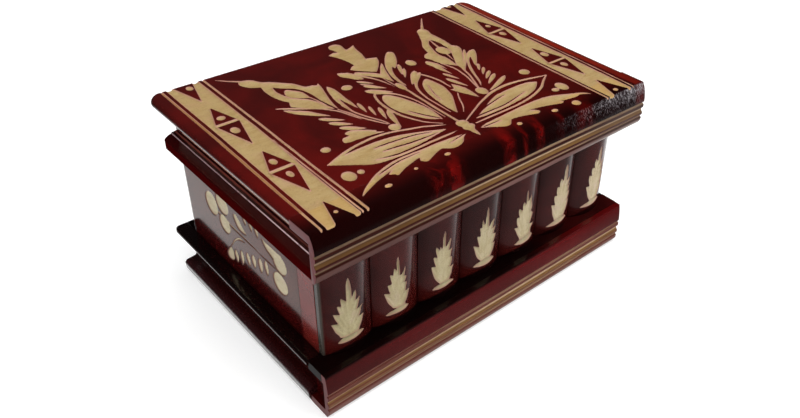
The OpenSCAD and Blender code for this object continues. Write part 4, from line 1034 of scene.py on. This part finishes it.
def base_front_material():
    """the base's front moulding: stained band, three bare grooves, foot"""
    N = Nodes("lacquer_base_front")
    x, y, z = N.xyz()
    lac = lacquer(N, (0.095, 0.0028, 0.0032), (0.060, 0.0022, 0.0024), 8.0, 0.5, (0.5, 1, 1))
    lac = N.mix(N.ramp(x, -0.085, -0.010, 0.75, 0.0), lac, (0.030, 0.0016, 0.0014))
    lac = N.mix(N.math("MULTIPLY", N.ramp(z, 0.0196, 0.0212, 0.0, 1.0), N.ramp(x, 0.015, 0.075, 1.0, 0.15)), lac, (0.0035, 0.0007, 0.0007))
    shift = N.math("ADD", N.ramp(x, -0.075, 0.010, 0.0006, 0.0), N.ramp(x, 0.030, 0.080, 0.0, 0.0002))
    gcol = lay_bands(N, N.math("MULTIPLY", N.math("SUBTRACT", z, shift), 1000.0), RUST,
                     ((0.0, 3.3, MAUVE, 1.0, 0.5), (4.2, 5.3, WOOD, 0.60, 0.3), (5.6, 6.5, HONEY, 0.6, 0.3),
                      (6.9, 7.8, HONEY, 1.0, 0.3), (7.7, 8.8, WOOD, 1.0, 0.3), (11.2, 12.0, WOOD, 0.50, 0.25)))
    front = N.ramp(y, (1.0 + YS) * MM, (1.25 + YS) * MM, 1.0, 0.0)
    inner = N.ramp(N.math("ABSOLUTE", x), 0.0836, 0.0839, 1.0, 0.0)
    on = N.math("MULTIPLY", N.math("MULTIPLY", front, inner), N.ramp(N.math("SUBTRACT", z, shift), 0.0123, 0.0126, 1.0, 0.0))
    fleck = N.noise(600.0, 2.0, 0.5, (0.2, 1, 1))
    gcol = N.mix(N.ramp(fleck, 0.35, 0.7, 0.0, 0.35), gcol, N.mix(0.5, gcol, (0.05, 0.01, 0.006)))
    col = N.mix(on, lac, gcol)
    end = N.ramp(N.math("ABSOLUTE", x), 0.08385, 0.08395, 0.0, 1.0)
    col = N.mix(end, col, (0.15, 0.050, 0.050))
    bare = N.math("MAXIMUM", N.math("MULTIPLY", on, 0.85), end)
    nrm = N.bump(N.noise(380.0, 2.0, 0.5), 0.3, 0.00012)
    N.p.inputs["Specular IOR Level"].default_value = 0.15
    flat = N.ramp(z, 0.0202, 0.0209, 1.0, 0.12)
    return finish_principled(N, col, N.ramp(bare, 0.0, 1.0, 0.22, 0.5, False), nrm,
                             N.math("MULTIPLY", flat, N.ramp(bare, 0.0, 1.0, 0.80, 0.1, False)), nrm)


def lid_side_material(name):
    """the shelf under the lid's panel: a wall with a painted pale sheen, a dark step whose edge carries a painted
    glint, a lip with a dull outer face
    """
    N = Nodes("lacquer_" + name)
    x, y, z = N.xyz()
    ax = N.math("ABSOLUTE", x)
    lac = lacquer(N, (0.048, 0.0012, 0.0014), (0.024, 0.0009, 0.001), 4.0, 0.48, (1, 0.4, 1))
    patchy = N.noise(130.0, 3.0, 0.6, (1, 0.22, 1))
    fine = N.noise(900.0, 2.0, 0.5, (1, 0.5, 1))
    # painted reflection: the wall under the bullnose, which sits in its shade, is painted pale greyish pink for the
    # sheen it shows
    wall = N.math("MULTIPLY", N.ramp(z, 0.0733, 0.0738), N.ramp(ax, 0.0789, 0.0791, 1.0, 0.0))
    col = N.mix(N.math("MULTIPLY", wall, N.ramp(patchy, 0.3, 0.7, 0.65, 1.0)), lac, (0.60, 0.34, 0.26))
    step = N.math("MULTIPLY", N.ramp(z, 0.0719, 0.0721), N.ramp(z, 0.0729, 0.0732, 1.0, 0.0))
    line = N.math("MULTIPLY", N.ramp(ax, 0.07885, 0.0791), N.ramp(ax, 0.0795, 0.0798, 1.0, 0.0))
    col = N.mix(N.math("MULTIPLY", N.math("MULTIPLY", step, line), N.ramp(patchy, 0.32, 0.55, 0.25, 1.0)), col, (0.34, 0.085, 0.065))
    # painted highlight: a pale pinkish-white glint along the step's outer edge, broken up and whiter towards the front
    edge = N.math("MULTIPLY", N.ramp(ax, 0.08072, 0.08078), N.math("MULTIPLY", N.ramp(ax, 0.08096, 0.0811, 1.0, 0.0), N.ramp(z, 0.0716, 0.0717)))
    glow = N.math("MULTIPLY", N.ramp(y, -0.050, 0.035, 1.0, 0.45), N.ramp(fine, 0.30, 0.48, 0.35, 1.0))
    col = N.mix(N.math("MULTIPLY", edge, glow), col, (1.0, 0.76, 0.79))
    face = N.math("MULTIPLY", N.ramp(z, 0.0702, 0.0707, 1.0, 0.0), N.ramp(ax, 0.0838, 0.0844))
    col = N.mix(face, col, (0.040, 0.0010, 0.0012))
    bare = N.math("MAXIMUM", N.math("MULTIPLY", wall, 0.6), N.math("MAXIMUM", edge, N.math("MULTIPLY", face, 1.0)))
    nrm = N.bump(N.noise(420.0, 2.0, 0.5), 0.3, 0.00012)
    N.p.inputs["Specular IOR Level"].default_value = 0.0
    return finish_principled(N, col, N.ramp(bare, 0.0, 1.0, 0.22, 0.6, False), nrm, N.ramp(bare, 0.0, 1.0, 0.6, 0.0, False), nrm)


def base_side_material(name):
    """side moulding of the base: black on top, red in the hollow, a crazed foot"""
    N = Nodes("lacquer_" + name)
    x, y, z = N.xyz()
    lac = lacquer(N, (0.045, 0.003, 0.0026), (0.018, 0.0016, 0.0014), 14.0, 0.5, (1, 0.4, 1))
    lac = N.mix(N.ramp(z, 0.0195, 0.0212, 0.0, 1.0), lac, (0.0035, 0.0007, 0.0007))
    foot = N.ramp(z, 0.0060, 0.0068, 1.0, 0.0)
    col = N.mix(foot, lac, (0.028, 0.006, 0.007))
    craze = N.noise(520.0, 2.0, 0.6, (1, 0.6, 1))
    fine = N.noise(420.0, 2.0, 0.5)
    hgt = N.math("ADD", N.math("MULTIPLY", fine, 0.35), N.math("MULTIPLY", craze, N.math("MULTIPLY", foot, 3.2)))
    nrm = N.bump(hgt, 0.4, 0.00012)
    return finish_principled(N, col, N.ramp(craze, 0.3, 0.7, 0.2, 0.3), nrm, N.ramp(z, 0.0190, 0.0212, 0.8, 0.35), nrm)


def plain_lacquer(name, seed, red=RED, deep=DEEP, dark=0.5, coat_rough=0.07, peel_strength=0.3, peel_scale=420.0, stretch=(1, 1, 1)):
    N = Nodes(name)
    col = lacquer(N, red, deep, seed, dark, stretch)
    nrm = N.bump(N.noise(peel_scale, 2.0, 0.5), peel_strength, 0.00012)
    r = N.ramp(N.noise(40.0, 2.0, 0.5, (1, 1, 1), (seed, 0, 0)), 0.3, 0.7, 0.18, 0.30)
    m = finish_principled(N, col, r, nrm, None, nrm)
    N.p.inputs["Coat Weight"].default_value = 1.0
    N.p.inputs["Coat Roughness"].default_value = coat_rough
    return m


def ledge_material():
    """nearly black, turning red towards the right end"""
    N = Nodes("lacquer_ledge")
    x, y, z = N.xyz()
    a = lacquer(N, (0.0035, 0.0005, 0.0005), (0.0015, 0.0004, 0.0004), 3.0, 0.55)
    b = lacquer(N, (0.060, 0.0035, 0.0035), (0.030, 0.002, 0.002), 3.0, 0.55)
    right = N.math("MULTIPLY", N.ramp(x, 0.020, 0.082), N.ramp(N.noise(45.0, 3.0, 0.6), 0.3, 0.65, 0.5, 1.0))
    nrm = N.bump(N.noise(420.0, 2.0, 0.5), 0.2, 0.00012)
    N.p.inputs["Specular IOR Level"].default_value = 0.10
    m = finish_principled(N, N.mix(right, a, b), N.ramp(N.noise(40.0, 2.0, 0.5), 0.3, 0.7, 0.38, 0.48), nrm, None, nrm)
    N.p.inputs["Coat Weight"].default_value = 0.03
    N.p.inputs["Coat Roughness"].default_value = 0.16
    return m


def bare_wood(name, along, pale=(0.58, 0.42, 0.24), tan=(0.42, 0.27, 0.14), seed=0.0, ends=False):
    N = Nodes(name)
    st = {"x": (0.12, 1, 1), "y": (1, 0.12, 1), "z": (1, 1, 0.12)}[along]
    g = N.noise(260.0, 4.0, 0.62, st, (seed, seed, seed), 0.3)
    ring = N.noise(46.0, 2.0, 0.5, st, (seed, 0, 0), 1.2)
    col = N.mix(N.ramp(g, 0.34, 0.68), pale, tan)
    col = N.mix(N.ramp(ring, 0.5, 0.62, 0.0, 0.5), col, tan)
    if ends:
        x, y, z = N.xyz()
        # the rail's ends in the side channel take the red lacquer below the step, and above it the same pale painted
        # sheen as the wall
        stain = N.ramp(N.math("ABSOLUTE", x), 0.0780, 0.0782)
        shade = N.mix(N.ramp(z, 0.0733, 0.0738), (0.045, 0.004, 0.004), N.mix(N.ramp(g, 0.34, 0.68), (0.42, 0.23, 0.175), (0.28, 0.12, 0.09)))
        col = N.mix(stain, col, shade)
    nrm = N.bump(g, 0.4, 0.0001)
    return finish_principled(N, col, N.ramp(g, 0.3, 0.7, 0.5, 0.68), nrm)


def metal(name, base, rough, seed, scratch=(1, 0.08, 1), tarnish=(0.2, 0.11, 0.05)):
    N = Nodes(name)
    g = N.noise(900.0, 3.0, 0.6, scratch, (seed, 0, 0))
    b = N.noise(240.0, 3.0, 0.6, (1, 1, 1), (seed, 1, 0))
    col = N.mix(N.ramp(b, 0.5, 0.78, 0.0, 0.55), base, tarnish)
    nrm = N.bump(g, 0.25, 0.00006)
    m = finish_principled(N, col, N.ramp(g, 0.3, 0.7, rough - 0.06, rough + 0.1), nrm)
    N.p.inputs["Metallic"].default_value = 1.0
    return m


def give(node_or_obj, mat):
    ob = nodes[node_or_obj] if isinstance(node_or_obj, str) else node_or_obj
    ob.data.materials.clear()
    ob.data.materials.append(mat)


def soften(name, width, segments=2, angle=30.0):
    """a small rounding along the edges of a CAD part, as sanding leaves it"""
    ob = nodes[name]
    ob.data.polygons.foreach_set("use_smooth", np.ones(len(ob.data.polygons), bool))
    b = ob.modifiers.new("edge", "BEVEL")
    b.width = width * MM
    b.segments = segments
    b.limit_method = "ANGLE"
    b.angle_limit = math.radians(angle)
    b.harden_normals = True
    b.use_clamp_overlap = True


# ------------------------------------------------------------------ build
def leaf_wood(i):
    """painted light: the leaves towards the right are painted a little lighter and paler, for the stronger light that
    reaches them
    """
    t = (i - 1) / 6
    return tuple(tuple(c * (a + (b - a) * t) for c, a, b in zip(col, (0.68, 0.66, 0.60), (0.87, 0.82, 0.86)))
                 for col in ((0.60, 0.53, 0.33), (0.50, 0.42, 0.23), (0.56, 0.36, 0.26)))


panel = build_lid_panel()
give(panel, carved_material("lacquer_lid_top", 0.0, "x", True))
give(build_lid_front(), front_band_material())
for i in range(1, 8):
    give(build_column(i), carved_material("lacquer_column_%d" % i, 11.0 + 1.3 * i, "z", False, (0.062, 0.0048, 0.0036), (0.030, 0.0028, 0.0024),
                                          0.5, wood=leaf_wood(i), foot=-78.6 + 157.2 / 7 * (i - 0.5)))
for left in (True, False):
    give(build_side(left), carved_material("lacquer_side_%s" % ("left" if left else "right"), 31.0 if left else 37.0, "y", False,
                                           (0.060, 0.003, 0.003), (0.035, 0.002, 0.002), 0.5, wood=((0.60, 0.53, 0.36), (0.53, 0.45, 0.29), (0.50, 0.34, 0.24)),
                                           side=True))

dark = plain_lacquer("lacquer_dark", 2.0, (0.012, 0.0012, 0.0012), BLACK, 0.5, 0.05)
ledge = ledge_material()
boardy = plain_lacquer("lacquer_board", 7.0, RED, DEEP, 0.5)
posty = plain_lacquer("lacquer_corner_post", 9.0, (0.21, 0.020, 0.016), (0.145, 0.014, 0.011), 0.5)
posty.node_tree.nodes["Principled BSDF"].inputs["Coat Weight"].default_value = 0.42
posty.node_tree.nodes["Principled BSDF"].inputs["Specular IOR Level"].default_value = 0.35
give("base_top_plate", ledge)
give("front_board", dark)
give("back_board", boardy)
give("lid_back_rail", boardy)
give("base_back_moulding", plain_lacquer("lacquer_base_back", 8.0, RED, DEEP, 0.5))
for n in ("lid_left_moulding", "lid_right_moulding", "lid_left_rail", "lid_right_rail"):
    give(n, lid_side_material(n))
for n in ("base_left_moulding", "base_right_moulding"):
    give(n, base_side_material(n))
for n in ("left_corner_post", "right_corner_post"):
    give(n, posty)
give("base_front_moulding", base_front_material())
along = {"lid_front_rail": "x", "floor_lining": "x", "base_bottom_board": "x", "base_left_runner": "y", "base_right_spacer": "y",
         "base_back_spacer": "x", "base_front_rails": "x", "column_wedge": "x"}
for k, (n, a) in enumerate(along.items()):
    give(n, bare_wood("plain_wood_" + n, a, seed=1.7 * k, ends=n == "lid_front_rail"))
brass = metal("brass_hinge", (0.72, 0.49, 0.20), 0.32, 0.0)
for n in ("hinge_lid_leaves", "hinge_box_leaves", "hinge_pins", "hinge_lid_nails", "hinge_box_nails", "lock_link_plate", "link_plate_nails"):
    give(n, brass)
iron = metal("iron_lock", (0.42, 0.41, 0.40), 0.38, 4.0, (1, 1, 0.08), (0.16, 0.12, 0.09))
for n in ("lock_case", "lock_post", "lock_nails", "key", "lock_bolt"):
    give(n, iron)

for n, w in (("left_corner_post", 0.12), ("right_corner_post", 0.12), ("base_top_plate", 0.22), ("front_board", 0.15), ("back_board", 0.2), ("lid_back_rail", 0.2), ("lid_left_rail", 0.15),
             ("lid_right_rail", 0.15), ("lid_front_rail", 0.2), ("lid_left_moulding", 0.15), ("lid_right_moulding", 0.15),
             ("base_left_moulding", 0.15), ("base_right_moulding", 0.15), ("base_back_moulding", 0.15), ("base_front_moulding", 0.12),
             ("floor_lining", 0.2), ("base_bottom_board", 0.2), ("hinge_lid_leaves", 0.1), ("hinge_box_leaves", 0.1),
             ("lock_case", 0.15), ("lock_link_plate", 0.12), ("key", 0.1), ("lock_bolt", 0.1)):
    soften(n, w)


# ------------------------------------------------------------------ floor, lights, surroundings
def floor():
    """a pale paper floor, and far behind it a backdrop that curves up on every side and lights nothing"""
    n = 64
    bowl = [(1.5, 0.0), (2.2, 0.0)] + [(2.2 + 1.4 * math.sin(a), 1.4 - 1.4 * math.cos(a)) for a in np.linspace(0.2, 0.5 * math.pi, 7)] + [(3.6, 2.2), (3.6, 3.4)]
    for name, rows, base, glow, near in (("floor", [(0.0, 0.0), (0.3, 0.0), (0.8, 0.0), (1.5, 0.0)], 0.62, 0.50, True),
                                         ("backdrop", bowl, 0.30, 0.80, False)):
        V, F = [], []
        for r, h in rows:
            V += [(r * math.cos(2 * math.pi * k / n), r * math.sin(2 * math.pi * k / n), h) for k in range(n if r > 0 else 1)]
        start = 0
        for i in range(len(rows) - 1):
            if rows[i][0] == 0.0:
                F += [(0, 1 + k, 1 + (k + 1) % n) for k in range(n)]
                start += 1
                continue
            a, b = start, start + n
            F += [(a + k, b + k, b + (k + 1) % n, a + (k + 1) % n) for k in range(n)]
            start += n
        me = bpy.data.meshes.new(name)
        me.from_pydata(V, [], F)
        for f in me.polygons:
            f.use_smooth = True
        ob = bpy.data.objects.new(name, me)
        bpy.context.scene.collection.objects.link(ob)
        m = bpy.data.materials.new(name + "_paper")
        m.use_nodes = True
        p = m.node_tree.nodes["Principled BSDF"]
        p.inputs["Base Color"].default_value = (base, base, base, 1)
        p.inputs["Roughness"].default_value = 0.9
        p.inputs["Specular IOR Level"].default_value = 0.1
        p.inputs["Emission Color"].default_value = (1, 1, 1, 1)
        p.inputs["Emission Strength"].default_value = glow
        me.materials.append(m)
        ob.visible_glossy = False
        ob.visible_diffuse = near
        ob.visible_shadow = near


floor()


def area(name, at, to, size, power, colour=(1, 1, 1)):
    d = bpy.data.lights.new(name, "AREA")
    d.shape = "RECTANGLE"
    d.size, d.size_y = size
    d.energy = power
    d.color = colour
    ob = bpy.data.objects.new(name, d)
    bpy.context.scene.collection.objects.link(ob)
    ob.location = at
    ob.rotation_euler = (Vector(to) - Vector(at)).to_track_quat("-Z", "Y").to_euler()
    return ob


for ob in (area("soft_top", (0.10, -0.20, 1.30), (0, 0, 0), (1.5, 1.5), 28.0),
           area("soft_front", (0.75, -1.0, 0.55), (0, 0, 0.04), (0.9, 0.6), 8.4),
           area("soft_left", (-1.1, -0.1, 0.6), (0, 0, 0.04), (0.8, 0.6), 4.0)):
    ob.visible_glossy = False


def surroundings():
    """what the lacquer mirrors: a dim room above, a bright table towards the back below the horizon"""
    w = bpy.data.worlds.new("soft_room")
    bpy.context.scene.world = w
    w.use_nodes = True
    t = w.node_tree
    bg = t.nodes["Background"]
    tc = t.nodes.new("ShaderNodeTexCoord")

    def dot(v):
        n = t.nodes.new("ShaderNodeVectorMath")
        n.operation = "DOT_PRODUCT"
        t.links.new(tc.outputs["Generated"], n.inputs[0])
        n.inputs[1].default_value = v
        return n.outputs["Value"]

    def ramp(v, lo, hi, a, b):
        n = t.nodes.new("ShaderNodeMapRange")
        n.interpolation_type = "SMOOTHSTEP"
        for k, x in (("From Min", lo), ("From Max", hi), ("To Min", a), ("To Max", b)):
            n.inputs[k].default_value = x
        t.links.new(v, n.inputs["Value"])
        return n.outputs["Result"]

    def op(kind, a, b):
        n = t.nodes.new("ShaderNodeMath")
        n.operation = kind
        for s, v in zip(n.inputs, (a, b)):
            if isinstance(v, bpy.types.NodeSocket):
                t.links.new(v, s)
            else:
                s.default_value = v
        return n.outputs[0]

    height = dot((0, 0, 1))
    above = ramp(dot((-0.37, 0.93, 0.0)), 0.1, 0.75, 0.002, 0.021)
    below = ramp(dot((0, 1, 0)), -0.55, 0.32, 0.13, 1.0)
    below = op("MULTIPLY", below, ramp(dot((-1, 0, 0)), 0.0, 0.40, 1.0, 0.55))
    up = ramp(height, -0.50, -0.30, 0.0, 1.0)
    total = op("ADD", op("MULTIPLY", above, up), op("MULTIPLY", below, op("SUBTRACT", 1.0, up)))
    glint = ramp(dot((0.90, -0.43, 0.0)), 0.965, 0.995, 0.0, 2.2)
    total = op("ADD", total, glint)
    bg.inputs["Color"].default_value = (1, 1, 1, 1)
    t.links.new(total, bg.inputs["Strength"])


surroundings()
bpy.context.scene.view_settings.view_transform = "Standard"
bpy.context.scene.view_settings.look = "None"

bpy.context.view_layer.update()
